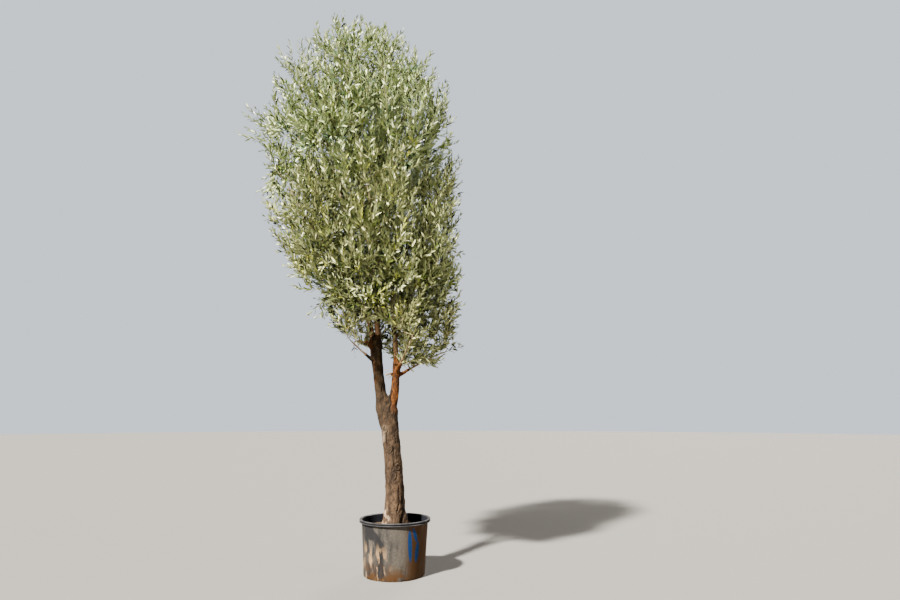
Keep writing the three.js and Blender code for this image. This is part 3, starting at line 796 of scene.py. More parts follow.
def mesh_from_arrays(name, places, corners, starts, smooth):
    """A mesh from arrays of places in mm, of the corners of all its faces, and of where each starts."""
    mesh = bpy.data.meshes.new(name)
    mesh.vertices.add(len(places))
    mesh.vertices.foreach_set("co", np.ascontiguousarray(places * MM, np.float32).ravel())
    mesh.loops.add(len(corners))
    mesh.loops.foreach_set("vertex_index", corners.astype(np.int32))
    mesh.polygons.add(len(starts))
    mesh.polygons.foreach_set("loop_start", starts.astype(np.int32))
    mesh.polygons.foreach_set("use_smooth", np.full(len(starts), smooth))
    mesh.update(calc_edges=True)
    mesh.validate()
    return mesh


def leaf_mesh(name, groups):
    """Folded leaves, seven corners and six faces each, pointed at both ends."""
    places, blade, face, size, wide, curl = (np.concatenate(part) for part in zip(*groups))
    sideways = np.cross(face, blade)
    height = wide[:, None] * LEAF_FOLD - (size * curl)[:, None] * LEAF_CURL
    corners = (
        places[:, None]
        + blade[:, None] * (size[:, None] * LEAF_X)[..., None]
        + sideways[:, None] * (wide[:, None] * LEAF_Y)[..., None]
        + face[:, None] * height[..., None]
    )
    count = len(places)
    loops = (np.arange(count)[:, None] * len(LEAF_X) + LEAF_CORNERS).ravel()
    starts = np.arange(len(loops) // 3) * 3
    return mesh_from_arrays(name, corners.reshape(-1, 3), loops, starts, False)


def tube_mesh(name, groups, sides):
    """Tapering tubes along paths, each closed at both ends."""
    all_places, all_corners, all_starts, base, begun = [], [], [], 0, 0
    turn = np.arange(sides) * TURN / sides
    for steps in sorted({len(path) for path, _ in groups}):
        paths = np.array([path for path, _ in groups if len(path) == steps])
        radii = np.array([radius for path, radius in groups if len(path) == steps])
        along = unit(np.gradient(paths, axis=1))
        first = unit(np.cross(along, unit(point(0.31, -0.2, 0.12))))
        second = np.cross(along, first)
        ring = first[:, :, None] * np.cos(turn)[:, None] + second[:, :, None] * np.sin(turn)[:, None]
        ring *= radii[:, :, None, None]
        count = len(paths)
        all_places.append((paths[:, :, None] + ring).reshape(-1, 3))
        index = np.arange(count * steps * sides).reshape(count, steps, sides) + base
        onward = np.roll(index, -1, axis=2)
        quads = np.stack([index[:, :-1], onward[:, :-1], onward[:, 1:], index[:, 1:]], -1)
        caps = [index[:, 0, ::-1].reshape(-1), index[:, -1].reshape(-1)]
        all_corners += [quads.reshape(-1), *caps]
        quad_starts = np.arange(quads.size // 4) * 4 + begun
        cap_starts = np.arange(2 * count) * sides + begun + quads.size
        all_starts += [quad_starts, cap_starts]
        begun += quads.size + 2 * count * sides
        base += count * steps * sides
    return mesh_from_arrays(
        name, np.vstack(all_places), np.concatenate(all_corners), np.concatenate(all_starts), True
    )


_growth = {}


def growth():
    """The crown and its foliage, grown once for all the pieces."""
    if not _growth:
        _growth["crown"] = Crown()
        _growth["foliage"] = Foliage(_growth["crown"], bpy.context.scene.olive_foliage)
    return _growth["crown"], _growth["foliage"]


# Materials


class Nodes:
    """Short ways to add nodes to a tree and to link them."""

    def __init__(self, tree):
        self.tree = tree

    def feed(self, socket, value):
        """Links a socket or sets its value. A colour comes without its alpha."""
        if isinstance(value, bpy.types.NodeSocket):
            self.tree.links.new(value, socket)
        elif socket.type == "RGBA":
            socket.default_value = (*value, 1.0)
        else:
            socket.default_value = value

    def add(self, kind, inputs=None, **settings):
        """A node with its settings, and a link or a value for each input that is named."""
        node = self.tree.nodes.new(kind)
        for name, value in settings.items():
            setattr(node, name, value)
        for name, value in (inputs or {}).items():
            self.feed(node.inputs[name], value)
        return node

    def place(self):
        """Where a point is on its piece, in metres."""
        return self.add("ShaderNodeTexCoord").outputs["Object"]

    def painted(self, name):
        """A value that is painted on the mesh."""
        return self.add("ShaderNodeAttribute", attribute_name=name).outputs["Fac"]

    def ranged(self, value, low, high, kind="SMOOTHSTEP"):
        """0 at the first number and 1 at the second, which may be the lower one."""
        inputs = {"Value": value, "From Min": low, "From Max": high}
        return self.add("ShaderNodeMapRange", inputs, interpolation_type=kind).outputs["Result"]

    def mixed(self, mask, low, high, blend="MIX"):
        """A colour between two others, by a mask."""
        inputs = {0: mask, 6: low, 7: high}
        return self.add("ShaderNodeMix", inputs, data_type="RGBA", blend_type=blend).outputs[2]

    def times(self, first, second):
        return self.add("ShaderNodeMath", {0: first, 1: second}, operation="MULTIPLY").outputs[0]

    def noise(self, vector, scale, detail, roughness):
        inputs = {"Vector": vector, "Scale": scale, "Detail": detail, "Roughness": roughness}
        return self.add("ShaderNodeTexNoise", inputs).outputs["Fac"]

    def bump(self, height, strength, distance):
        inputs = {"Height": height, "Strength": strength, "Distance": distance}
        return self.add("ShaderNodeBump", inputs).outputs["Normal"]

    def mottle(self, vector, scale, low, high, detail=5, roughness=0.6, softness=1):
        """A mask of ragged patches, from the group of that name."""
        inputs = {"Vector": vector, "Scale": scale, "Detail": detail, "Roughness": roughness}
        inputs |= {"From": low, "To": high, "Softness": softness}
        return self.add("ShaderNodeGroup", inputs, node_tree=group_named("mottle")).outputs["Mask"]

    def grain(self, dark, light, **inputs):
        """The grain's mask, colour and normal, from the group of that name."""
        inputs = {"Vector": self.place(), "Dark": dark, "Light": light} | inputs
        return self.add("ShaderNodeGroup", inputs, node_tree=group_named("grain")).outputs


def new_group(name, inputs, outputs):
    """A shader node group that is still empty, and what its inputs give and its outputs take."""
    group = bpy.data.node_groups.new(name, "ShaderNodeTree")
    for in_out, sockets in (("INPUT", inputs), ("OUTPUT", outputs)):
        for socket_name, kind in sockets.items():
            group.interface.new_socket(socket_name, in_out=in_out, socket_type=f"NodeSocket{kind}")
    nodes = Nodes(group)
    return nodes, nodes.add("NodeGroupInput").outputs, nodes.add("NodeGroupOutput").inputs


def build_mottle(name):
    """Ragged patches where noise passes a threshold, their edges straight or softened."""
    inputs = {"Vector": "Vector", "Scale": "Float", "Detail": "Float", "Roughness": "Float"}
    inputs |= {"From": "Float", "To": "Float", "Softness": "Float"}
    nodes, given, made = new_group(name, inputs, {"Mask": "Float"})
    grain = nodes.noise(given["Vector"], given["Scale"], given["Detail"], given["Roughness"])
    straight = nodes.ranged(grain, given["From"], given["To"], "LINEAR")
    soft = nodes.ranged(straight, 0, 1)
    blend = nodes.add("ShaderNodeMix", {0: given["Softness"], 2: straight, 3: soft})
    nodes.feed(made["Mask"], blend.outputs[0])


def build_grain(name):
    """Fine grain: a mask, a colour between a dark and a light one, and relief to go with it."""
    inputs = {"Vector": "Vector", "Scale": "Float", "Detail": "Float", "Roughness": "Float"}
    inputs |= {"Dark": "Color", "Light": "Color", "Strength": "Float", "Distance": "Float"}
    nodes, given, made = new_group(name, inputs, {"Mask": "Float", "Color": "Color", "Normal": "Vector"})
    mask = nodes.noise(given["Vector"], given["Scale"], given["Detail"], given["Roughness"])
    nodes.feed(made["Mask"], mask)
    nodes.feed(made["Color"], nodes.mixed(mask, given["Dark"], given["Light"]))
    nodes.feed(made["Normal"], nodes.bump(mask, given["Strength"], given["Distance"]))


GROUP_BUILDERS = {"mottle": build_mottle, "grain": build_grain}


def group_named(name):
    """A node group, built when the first material asks for it."""
    if name not in bpy.data.node_groups:
        GROUP_BUILDERS[name](name)
    return bpy.data.node_groups[name]


def new_surface(name, roughness, specular=0.5):
    """A material, its nodes, and the inputs of its shader."""
    material = bpy.data.materials.new(name)
    material.use_nodes = True
    shader = material.node_tree.nodes["Principled BSDF"].inputs
    shader["Roughness"].default_value = roughness
    shader["Specular IOR Level"].default_value = specular
    return material, Nodes(material.node_tree), shader


def leaf_material(name, top, under):
    """A leathery leaf, darker on top and silvery underneath."""
    material, nodes, shader = new_surface(name, 0.32, 0.3)
    backfacing = nodes.add("ShaderNodeNewGeometry").outputs["Backfacing"]
    nodes.feed(shader["Base Color"], nodes.mixed(backfacing, top, under))
    return material


# Colours of the bark that aren't among the settings
UNCHANGED = (1, 1, 1)
# Painted shade in the cracks and furrows.
CRACK_SHADE = (0.011, 0.007, 0.004)
OCHRE_DARK = (0.07, 0.024, 0.008)
YOUNG_OCHRE_DARK = (0.05, 0.016, 0.004)
PALE_BARK = (0.12, 0.085, 0.055), (0.32, 0.24, 0.165)
SAWN_WOOD = (0.36, 0.21, 0.1), (0.5, 0.33, 0.19)
SPECKS = (0.72, 0.7, 0.67)
# The bark is khaki and darkened by painted shade of the crown high up, and bleached low down: the heights
# in metres between which it turns from one to the other, and what its colour is multiplied by below and
# above them.
BLEACHING_AND_CROWN_SHADE = (
    (1.3, 1.9, UNCHANGED, (0.45, 0.4, 0.21)),
    (0.72, 1.25, (1.42, 1.4, 1.38), UNCHANGED),
)


def bark_material(look):
    """Weathered grey-brown plates, painted shade in the cracks and high up, ochre and pale patches, and the
    sawn end.
    """
    material, nodes, shader = new_surface("olive_bark", 0.9, 0.2)
    place = nodes.place()
    drawn_out = nodes.add("ShaderNodeMapping", {"Vector": place, "Scale": (1, 1, 0.38)}).outputs["Vector"]

    def mottle(scale, low, high, detail=5):
        return nodes.mottle(drawn_out, scale, low, high, detail, roughness=0.62, softness=0)

    coarse, fine, specks = mottle(14, 0.42, 0.6, 7), mottle(48, 0.4, 0.62), mottle(150, 0.45, 0.7, 2)
    colour = nodes.mixed(coarse, look.bark_dark, look.bark_light)
    colour = nodes.mixed(0.42, colour, nodes.mixed(fine, look.bark_dark, look.bark_light))
    colour = nodes.mixed(nodes.painted("ochre"), colour, nodes.mixed(fine, OCHRE_DARK, look.ochre))
    colour = nodes.mixed(nodes.painted("pale"), colour, nodes.mixed(fine, *PALE_BARK))
    # Painted shade in the cracks, furrows and knot rings.
    colour = nodes.mixed(nodes.painted("fissure"), colour, CRACK_SHADE)
    colour = nodes.mixed(nodes.painted("cut"), colour, nodes.mixed(coarse, *SAWN_WOOD))
    colour = nodes.mixed(1.0, colour, nodes.mixed(specks, UNCHANGED, SPECKS), "MULTIPLY")
    height = nodes.add("ShaderNodeSeparateXYZ", {"Vector": place}).outputs["Z"]
    # Painted shade of the crown darkens the bark high up; the bark low down is bleached.
    for low, high, below, above in BLEACHING_AND_CROWN_SHADE:
        share = nodes.ranged(height, low, high, "LINEAR")
        colour = nodes.mixed(1.0, colour, nodes.mixed(share, below, above), "MULTIPLY")
    nodes.feed(shader["Base Color"], colour)
    nodes.feed(shader["Normal"], nodes.bump(fine, 0.55, 0.004))
    return material


def young_bark_material(name, dark, light, scale, ochre=None):
    """Smooth young bark, ochre where the mesh is painted so."""
    material, nodes, shader = new_surface(name, 0.8)
    grain = nodes.grain(dark, light, Scale=scale, Detail=4, Roughness=0.5, Strength=0.4, Distance=0.002)
    colour = grain["Color"]
    if ochre is not None:
        fresh = nodes.mixed(grain["Mask"], YOUNG_OCHRE_DARK, ochre)
        colour = nodes.mixed(nodes.painted("ochre"), colour, fresh)
    nodes.feed(shader["Base Color"], colour)
    nodes.feed(shader["Normal"], grain["Normal"])
    return material


# Places on the container, each with its middle and its reach in metres and its turns in degrees:
# where the dust is worn off, and the dabs of paint on the front.
WORN_PATCHES = (
    ((-0.14, -0.29, 0.36), (0, -35, 0), (0.05, 0.16, 0.16)),
    ((-0.21, -0.25, 0.42), (0, -10, 0), (0.06, 0.16, 0.09)),
)
PAINT_DABS = (
    ((0.171, -0.273, 0.31), (0, -4, 32), (0.03, 0.09, 0.2)),
    ((0.214, -0.24, 0.4), (0, -22, 42), (0.026, 0.09, 0.1)),
    ((0.235, -0.215, 0.25), (0, 5, 48), (0.034, 0.09, 0.13)),
)
SOIL_STREAKS = (0.26, 0.165, 0.085)
RIM_COLOURS = (0.02, 0.0205, 0.023), (0.056, 0.056, 0.06)
# Painted shade in the groove between the rim's beads.
GROOVE_SHADE_COLOUR = (0.005, 0.005, 0.006)
# Painted shade: the inside of the container is darker than its bare plastic.
INSIDE_SHADE_COLOURS = (0.002, 0.003, 0.006), (0.007, 0.008, 0.012)
PLASTIC_GLOSS, DUST_GLOSS, INSIDE_GLOSS = (0.45,) * 3, (0.85,) * 3, (1, 1, 1)


def container_material(look):
    """Black moulded plastic, grey with dust, stained with soil, dabbed with blue paint, and darkened with
    painted shade.
    """
    material, nodes, shader = new_surface("dusty_plastic", 0.55, 0.16)
    place = nodes.place()
    x, _, z = nodes.add("ShaderNodeSeparateXYZ", {"Vector": place}).outputs
    top, under = POT_HEIGHT * MM, (POT_HEIGHT - RIM_HEIGHT) * MM
    mixed, times, ranged, mottle = nodes.mixed, nodes.times, nodes.ranged, nodes.mottle

    def placed(location, turns, scale):
        inputs = {"Vector": place, "Location": location, "Scale": scale}
        inputs["Rotation"] = tuple(math.radians(turn) for turn in turns)
        return nodes.add("ShaderNodeMapping", inputs, vector_type="TEXTURE").outputs["Vector"]

    def blob(location, turns, scale):
        """A soft-edged oval."""
        inputs = {"Vector": placed(location, turns, scale)}
        gradient = nodes.add("ShaderNodeTexGradient", inputs, gradient_type="SPHERICAL")
        return ranged(gradient.outputs["Fac"], 0.16, 0.4)

    streaked = placed((0, 0, 0), (0, 0, 0), (1, 1, 3.4))
    dust, fine = mottle(streaked, 7, 0.34, 0.6), mottle(place, 60, 0.35, 0.7)
    pale_dust = tuple(min(1, 1.25 * part) for part in look.dust)
    colour = mixed(dust, look.plastic, look.dust)
    colour = mixed(times(fine, dust), colour, pale_dust)

    # Worn and streaked on the left; muddy on the right and round the foot, the mud darkened as painted
    # shade
    worn_left = times(ranged(x, 0.02, -0.12), mottle(streaked, 11, 0.44, 0.53))
    colour = mixed(worn_left, colour, look.plastic)
    for patch in WORN_PATCHES:
        colour = mixed(times(blob(*patch), mottle(streaked, 15, 0.3, 0.5)), colour, look.plastic)
    low_left = times(ranged(x, 0.05, -0.15), ranged(z, 0.36, 0.2))
    colour = mixed(times(low_left, mottle(streaked, 17, 0.51, 0.58)), colour, SOIL_STREAKS)
    # Painted shade: the mud on the right side is darker for the shade there.
    colour = mixed(times(ranged(x, 0.1, 0.2), mottle(streaked, 5, 0.3, 0.55)), colour, look.mud)
    colour = mixed(times(ranged(z, 0.2, 0.02), mottle(place, 12, 0.36, 0.6)), colour, look.mud)

    edge = mixed(mottle(place, 9, 0.3, 0.7), *RIM_COLOURS)
    # Painted shade fills the groove between the rim's beads.
    groove = times(ranged(z, top - 0.007, top - 0.011), ranged(z, under + 0.0065, under + 0.0105))
    colour = mixed(nodes.painted("rim"), colour, mixed(groove, edge, GROOVE_SHADE_COLOUR))
    for dab in PAINT_DABS:
        colour = mixed(times(blob(*dab), mottle(place, 45, 0.28, 0.42)), colour, look.paint)
    # Painted shade darkens the inside of the container.
    colour = mixed(nodes.painted("inside"), colour, mixed(dust, *INSIDE_SHADE_COLOURS))
    nodes.feed(shader["Base Color"], colour)
    gloss = mixed(nodes.painted("inside"), mixed(dust, PLASTIC_GLOSS, DUST_GLOSS), INSIDE_GLOSS)
    nodes.feed(shader["Roughness"], gloss)
    nodes.feed(shader["Normal"], nodes.bump(fine, 0.25, 0.003))
    return material


def soil_material(look):
    material, nodes, shader = new_surface("dry_soil", 0.97, 0.1)
    grain = nodes.grain(
        look.soil_dark, look.soil_light, Scale=70, Detail=6, Roughness=0.7, Strength=0.7, Distance=0.004
    )
    nodes.feed(shader["Base Color"], grain["Color"])
    nodes.feed(shader["Normal"], grain["Normal"])
    return material


# Meshes


def mesh_of(bm, name):
    mesh = bpy.data.meshes.new(name)
    bm.to_mesh(mesh)
    bm.free()
    return mesh


def object_of(mesh):
    thing = bpy.data.objects.new(mesh.name, mesh)
    bpy.context.scene.collection.objects.link(thing)
    return thing


def finish_piece(mesh, material, nodes):
    """Hands a mesh in as the piece that stands for some nodes of the frame."""
    piece = object_of(mesh)
    mesh.materials.append(material)
    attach(piece, "root")
    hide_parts(*nodes)


def nodes_named(start):
    return [name for name in frame["nodes"] if name.startswith(start)]


def modified(mesh, kind, **settings):
    """The mesh that one modifier makes of another, with the same name."""
    thing = object_of(mesh)
    modifier = thing.modifiers.new(kind, kind)
    for name, value in settings.items():
        setattr(modifier, name, value)
    graph = bpy.context.evaluated_depsgraph_get()
    made = bpy.data.meshes.new_from_object(thing.evaluated_get(graph))
    name = mesh.name
    bpy.data.objects.remove(thing)
    bpy.data.meshes.remove(mesh)
    made.name = name
    return made


def places_of(mesh):
    """The corners of a mesh, in mm."""
    co = np.empty(len(mesh.vertices) * 3, np.float32)
    mesh.vertices.foreach_get("co", co)
    return co.reshape(-1, 3).astype(float) / MM


def normals_of(mesh):
    normals = np.empty(len(mesh.vertices) * 3, np.float32)
    mesh.vertex_normals.foreach_get("vector", normals)
    return normals.reshape(-1, 3).astype(float)


def set_places(mesh, places):
    mesh.vertices.foreach_set("co", (places * MM).astype(np.float32).ravel())
    mesh.update()


def shade_smooth(mesh):
    mesh.polygons.foreach_set("use_smooth", np.ones(len(mesh.polygons), bool))


def paint(mesh, name, values):
    """A value for each corner of the mesh, which the material reads by its name."""
    layer = mesh.attributes.new(name, "FLOAT", "POINT")
    layer.data.foreach_set("value", np.clip(values, 0, 1).astype(np.float32))


def noise_at(places, scale, offset=0.0):
    """Smooth noise at many places, with a size in mm along each axis. The offset sets it apart from
    other noise."""
    stretched = places / np.array(scale, float) + offset
    return np.array([noise.noise(Vector(place)) for place in stretched])


def near(places, centre, reach):
    """1 at a centre, falling to 0 at its reach along each axis."""
    out = np.linalg.norm((places - np.array(centre)) / np.array(reach), axis=1)
    return 1 - smoothstep(out, 0.45, 1.0)


# Limbs

TRUNK_SUNK, BARK_SUNK = 12, 8  # how far the trunk and its bark reach into the soil
SKIN_SMOOTHINGS = 6
COLLAR_REACH = 130  # boughs are thicker over this length of their roots
FURROW_DEPTH = 9
# Furrows in the wood: the x of each, the y that it stays in front of, the heights that it runs between,
# and its half width. Then the middles of knots, and their size along each axis.
FURROWS = (
    (-55, -20, 1560, 1730, 11),
    (80, 40, 480, 690, 22),
    (44, -30, 610, 790, 8),
    (-20, -30, 900, 1180, 7),
    (-92, -40, 1240, 1330, 9),
    (-140, -20, 1680, 1960, 6),
)
KNOTS = ((22, -78, 1010), (-8, -86, 930), (-58, -86, 1180))
KNOT_SIZE = (34, 40, 46)
# Patches on the bark: the middle of each, and its reach along each axis.
OCHRE_HEAD = (-310, 0, 2225), (88, 90, 110)
OCHRE_EDGE = (-235, 5, 1950), (50, 90, 190)
PALE_SCAR = (-118, -70, 1360), (55, 70, 75)
PALE_SCAR_TAIL = (-130, -60, 1290), (34, 60, 60)
PALE_FOOT = (-95, -75, 520), (70, 90, 170)
SAWN_SPOT = (6, -62, 2034), (30, 34, 40)
SAWN_TWIG_REACH = (62, 40, 34)
# The left stem's wood runs on down the trunk, and a saddle of wood fills the fork.
SHOULDER_WOOD = Spline((-62, 0, 1250), (-112, 4, 1420), (-150, 8, 1560), (-157, 10, 1610))
FORK_SADDLE = Spline((-165, 4, 1728), (-102, -8, 1650), (-38, -16, 1700))
SAWN_TWIGS = (
    Arc(point(-28, -58, 1938), point(-74, -84, 1932), point(-112, -92, 1908)),
    Arc(point(-34, -56, 1918), point(-62, -76, 1904), point(-84, -84, 1886)),
)


def ring_frame(place, along, radius):
    """A matrix that takes a unit disc to a ring square to a limb, in metres."""
    turned = Matrix(np.array([*across(along), along]).T.tolist()).to_4x4()
    return Matrix.Translation(Vector(place * MM)) @ turned @ Matrix.Scale(radius * MM, 4)


def limb(bm, frames, sides):
    """A disc that is extruded from frame to frame."""
    disc = bmesh.ops.create_circle(bm, cap_ends=True, segments=sides, radius=1, matrix=frames[0])
    face = disc["verts"][0].link_faces[0]
    for before, after in zip(frames, frames[1:]):
        grown = bmesh.ops.extrude_face_region(bm, geom=[face])["geom"]
        face = next(part for part in grown if isinstance(part, bmesh.types.BMFace))
        bmesh.ops.transform(bm, matrix=after @ before.inverted(), verts=face.verts)


def curve_frames(curve, radius_at, steps, start=0.0, end=1.0):
    places = np.array([curve.at(share) for share in np.linspace(start, end, steps + 1)])
    tangents = unit(np.gradient(places, axis=0))
    radii = [radius_at(k / steps) for k in range(steps + 1)]
    return [ring_frame(*ring) for ring in zip(places, tangents, radii)]


def flare_at(z):
    """How much of the root flare there is at a height."""
    return np.exp(-np.maximum(z - TRUNK_FOOT, 0) / FLARE_HEIGHT)


def trunk_frames(steps):
    """Level rings that lean, flare at the foot, widen under the fork, and are rounded on top."""
    frames = []
    for z in np.linspace(TRUNK_FOOT - TRUNK_SUNK, FORK_HEIGHT, steps + 1):
        swell = math.exp(-(((FORK_HEIGHT - z) / FORK_SWELL_HEIGHT) ** 2))
        radius = WAIST_RADIUS + FLARE * flare_at(z) + FORK_SWELL * swell
        radius *= math.sqrt(1 - max(z - DOME_FROM, 0) ** 2 / (DOME_TOP - DOME_FROM) ** 2)
        wide, deep = radius * (1 + FORK_WIDENING * swell), radius * (1 - FORK_WIDENING * swell)
        place = Vector(trunk_middle(z) * MM)
        frames.append(Matrix.Translation(place) @ Matrix.Diagonal((wide * MM, deep * MM, 1, 1)))
    return frames


def remeshed(mesh, voxel):
    """One skin, smoothed, round all the limbs that run into each other."""
    made = modified(mesh, "REMESH", mode="VOXEL", voxel_size=voxel)
    bm = bmesh.new()
    bm.from_mesh(made)
    for _ in range(SKIN_SMOOTHINGS):
        bmesh.ops.smooth_vert(
            bm, verts=bm.verts, factor=0.5, use_axis_x=True, use_axis_y=True, use_axis_z=True
        )
    bmesh.ops.recalc_face_normals(bm, faces=bm.faces)
    bm.to_mesh(made)
    bm.free()
    return made


def trunk_skin(masses, voxel):
    """The trunk, its stems and stubs, and the collars of the boughs, under one skin."""
    bm = bmesh.new()
    limb(bm, trunk_frames(30), 64)
    limb(bm, curve_frames(SHOULDER_WOOD, lambda share: 60 + 3 * share, 10), 40)
    limb(bm, curve_frames(FORK_SADDLE, lambda share: lerp(52, 42, share), 12), 28)
    for twig in SAWN_TWIGS:
        limb(bm, curve_frames(twig, lambda share: 10 - 2 * share, 5), 14)
    limb(bm, curve_frames(STEM_LEFT, left_radius, 24), 40)
    limb(bm, curve_frames(STEM_RIGHT, right_radius, 18), 36)
    limb(bm, curve_frames(STUB, stub_radius, 6), 24)
    for mass in masses:
        if mass.tier != "middle":
            limb(bm, collar_frames(mass), 20)
    bmesh.ops.recalc_face_normals(bm, faces=bm.faces)
    return remeshed(mesh_of(bm, "trunk_bark"), voxel)


def collar_frames(mass):
    thick = mass.bough_radius(0)
    end = COLLAR_REACH / curve_length(mass.curve, 60)
    return curve_frames(mass.curve, lambda share: thick * lerp(1.55, 0.98, share**0.6), 6, 0, end)


def lobed(places):
    """The trunk's foot swells into root lobes."""
    z = places[:, 2]
    middle = np.array([trunk_middle(min(height, FORK_HEIGHT)) for height in z])
    out = places[:, :2] - middle[:, :2]
    angle = np.arctan2(out[:, 1], out[:, 0])
    lobes = ROOT_LOBE_DEPTH * flare_at(z) * (z < FORK_HEIGHT) * np.cos(ROOT_LOBES * angle + 0.6)
    return np.column_stack([places[:, :2] + out * lobes[:, None], z])


def cracks_in(places, low):
    """Long cracks, the edges of plates low down, and pits, from 0 to 1."""
    warped = places + noise_at(places, (60, 60, 60), 3.1)[:, None] * point(16, 16, 30)
    broken = smoothstep(noise_at(places, (70, 70, 110), 31.0), -0.3, 0.15)
    long_cracks = 1 - smoothstep(np.abs(noise_at(warped, (24, 24, 78), 11.0)), 0.0, 0.12)
    plate_edges = 1 - smoothstep(np.abs(noise_at(warped, (34, 34, 26), 21.0)), 0.0, 0.08)
    pits = smoothstep(noise_at(places, (17, 17, 21), 41.0), 0.42, 0.62)
    return np.maximum.reduce([long_cracks * broken * lerp(0.5, 1.0, low), plate_edges * 0.6 * low, pits])


def furrows_in(places):
    """Deep folds that wander up the wood, from 0 to 1."""
    z, deepest = places[:, 2], np.zeros(len(places))
    for x, front, bottom, top, wide in FURROWS:
        sideways = np.abs(places[:, 0] - x - 26 * noise_at(places, (400, 400, 90), x))
        along = smoothstep(z, bottom - 60, bottom) * (1 - smoothstep(z, top, top + 90))
        furrow = (1 - smoothstep(sideways, wide * 0.3, wide)) * along * (places[:, 1] < front)
        deepest = np.maximum(deepest, furrow)
    return deepest


def bark_relief(places, crack_depth):
    """How far the bark stands out, how much painted shade darkens its cracks, and its finest grain."""
    low = 1 - smoothstep(places[:, 2], 900, 1900)
    swellings = noise_at(places, (95, 95, 170)) * 5 + noise_at(places, (42, 42, 62), 7.3) * 5
    furrows = furrows_in(places)
    for centre in KNOTS:
        rings = np.linalg.norm((places - np.array(centre)) / np.array(KNOT_SIZE), axis=1)
        rings += 0.35 * noise_at(places, (30, 30, 30), 13.0)
        swirl = np.abs(np.sin(rings * 5.2)) ** 3 * (1 - smoothstep(rings, 0.9, 1.3))
        furrows = np.maximum(furrows, swirl * 0.8)
        swellings += 7 * (1 - smoothstep(rings, 0.2, 1.3))
    grain = noise_at(places, (11, 11, 15), 5.5)
    cracks = cracks_in(places, low)
    relief = swellings - cracks * crack_depth - furrows * FURROW_DEPTH + grain * lerp(0.8, 1.8, low)
    return relief, np.maximum(cracks, furrows), grain


def bark_patches(places, grain):
    """Where the bark is ochre, and where it is pale."""
    right_stem = smoothstep(places[:, 0], -72, -46) * smoothstep(places[:, 2], 1480, 1680)
    ragged = smoothstep(noise_at(places, (34, 34, 80), 9.0), -0.25, 0.2)
    ochre = np.maximum(right_stem, near(places, *OCHRE_HEAD)) * lerp(0.62, 1, ragged)
    ochre = np.maximum(ochre, near(places, *OCHRE_EDGE) * 0.55 * ragged)
    scar = near(places, *PALE_SCAR) * smoothstep(grain, -0.3, 0.2)
    foot = near(places, *PALE_FOOT) * smoothstep(noise_at(places, (28, 28, 55), 2.0), -0.15, 0.25)
    return ochre, np.maximum.reduce([scar, near(places, *PALE_SCAR_TAIL) * 0.8, foot])


def sawn_end(places):
    """Where the flat end of the stub is."""
    end = STUB.at(1.0)
    past = (places - end) @ unit(end - STUB.at(0.0))
    return smoothstep(past, -5, -2) * (np.linalg.norm(places - end, axis=1) < 45)


def build_trunk(look):
    crown, _ = growth()
    mesh = trunk_skin(crown.masses, look.bark_detail)
    places = lobed(places_of(mesh))
    set_places(mesh, places)
    relief, cracks, grain = bark_relief(places, look.fissure_depth * METRE)
    sawn = sawn_end(places)
    places = places + normals_of(mesh) * (relief * (1 - sawn))[:, None]
    places[:, 2] = np.maximum(places[:, 2], TRUNK_FOOT - BARK_SUNK)
    set_places(mesh, places)
    shade_smooth(mesh)

    ochre, pale = bark_patches(places, grain)
    sawn = np.maximum(sawn, near(places, *SAWN_SPOT))
    for twig in SAWN_TWIGS:
        sawn = np.maximum(sawn, near(places, twig.at(0.75), SAWN_TWIG_REACH) * (places[:, 0] < -40))
    # The first of these masks is painted shade in the cracks and furrows.
    for name, values in dict(fissure=cracks, ochre=ochre, pale=pale, cut=sawn).items():
        paint(mesh, name, values)
    finish_piece(mesh, bark_material(look), ("trunk", "stem_left", "stem_right"))


def bough_frames(mass):
    """A bough as far as its mass, and the mass's stem from there."""

    def radius_at(share):
        if share < mass.entry:
            return mass.bough_radius(share / mass.entry)
        return lerp(STEM_RADIUS, STEM_TIP_RADIUS, (share - mass.entry) / (1 - mass.entry))

    return curve_frames(mass.curve, radius_at, 70)


def build_boughs(look):
    """Each limb runs from the head that it springs from to the tip of its mass."""
    crown, _ = growth()
    material = young_bark_material("young_bark", look.young_dark, look.young_light, 60, look.ochre)
    for tier, *_ in TIERS:
        bm = bmesh.new()
        for mass in crown.masses:
            if mass.tier == tier:
                limb(bm, bough_frames(mass), 12)
        bmesh.ops.recalc_face_normals(bm, faces=bm.faces)
        mesh = mesh_of(bm, f"boughs_{tier}")
        places = places_of(mesh)
        knots = noise_at(places, (45, 45, 70), 4.0) * 4.5 + noise_at(places, (13, 13, 30), 8.0) * 1.3
        knots *= 0.35 if tier == "skirt" else 0.5
        set_places(mesh, places + normals_of(mesh) * knots[:, None])
        heads = (STEM_LEFT.at(1.0), STEM_RIGHT.at(1.0))
        from_heads = np.minimum(*(np.linalg.norm(places - head, axis=1) for head in heads))
        paint(mesh, "ochre", (1 - smoothstep(from_heads, 120, 420)) * 0.55)
        shade_smooth(mesh)
        finish_piece(mesh, material, nodes_named(f"bough_{tier}_"))


def build_twigs(look):
    _, foliage = growth()
    material = young_bark_material("twig_bark", look.twig_dark, look.twig_light, 90)
    for tier, *_ in TIERS:
        mesh = tube_mesh(f"twigs_{tier}", foliage.wood[tier], 3)
        finish_piece(mesh, material, nodes_named(f"foliage_{tier}_"))


# The leaves are a little bluer high up, and browner and darker low down, as painted shade: shares of their
# red, green and blue.
TIER_TINTS_AND_SHADE = {"upper": (0.94, 1.03, 1.1), "middle": (0.9, 0.92, 0.94), "skirt": (0.84, 0.82, 0.78)}


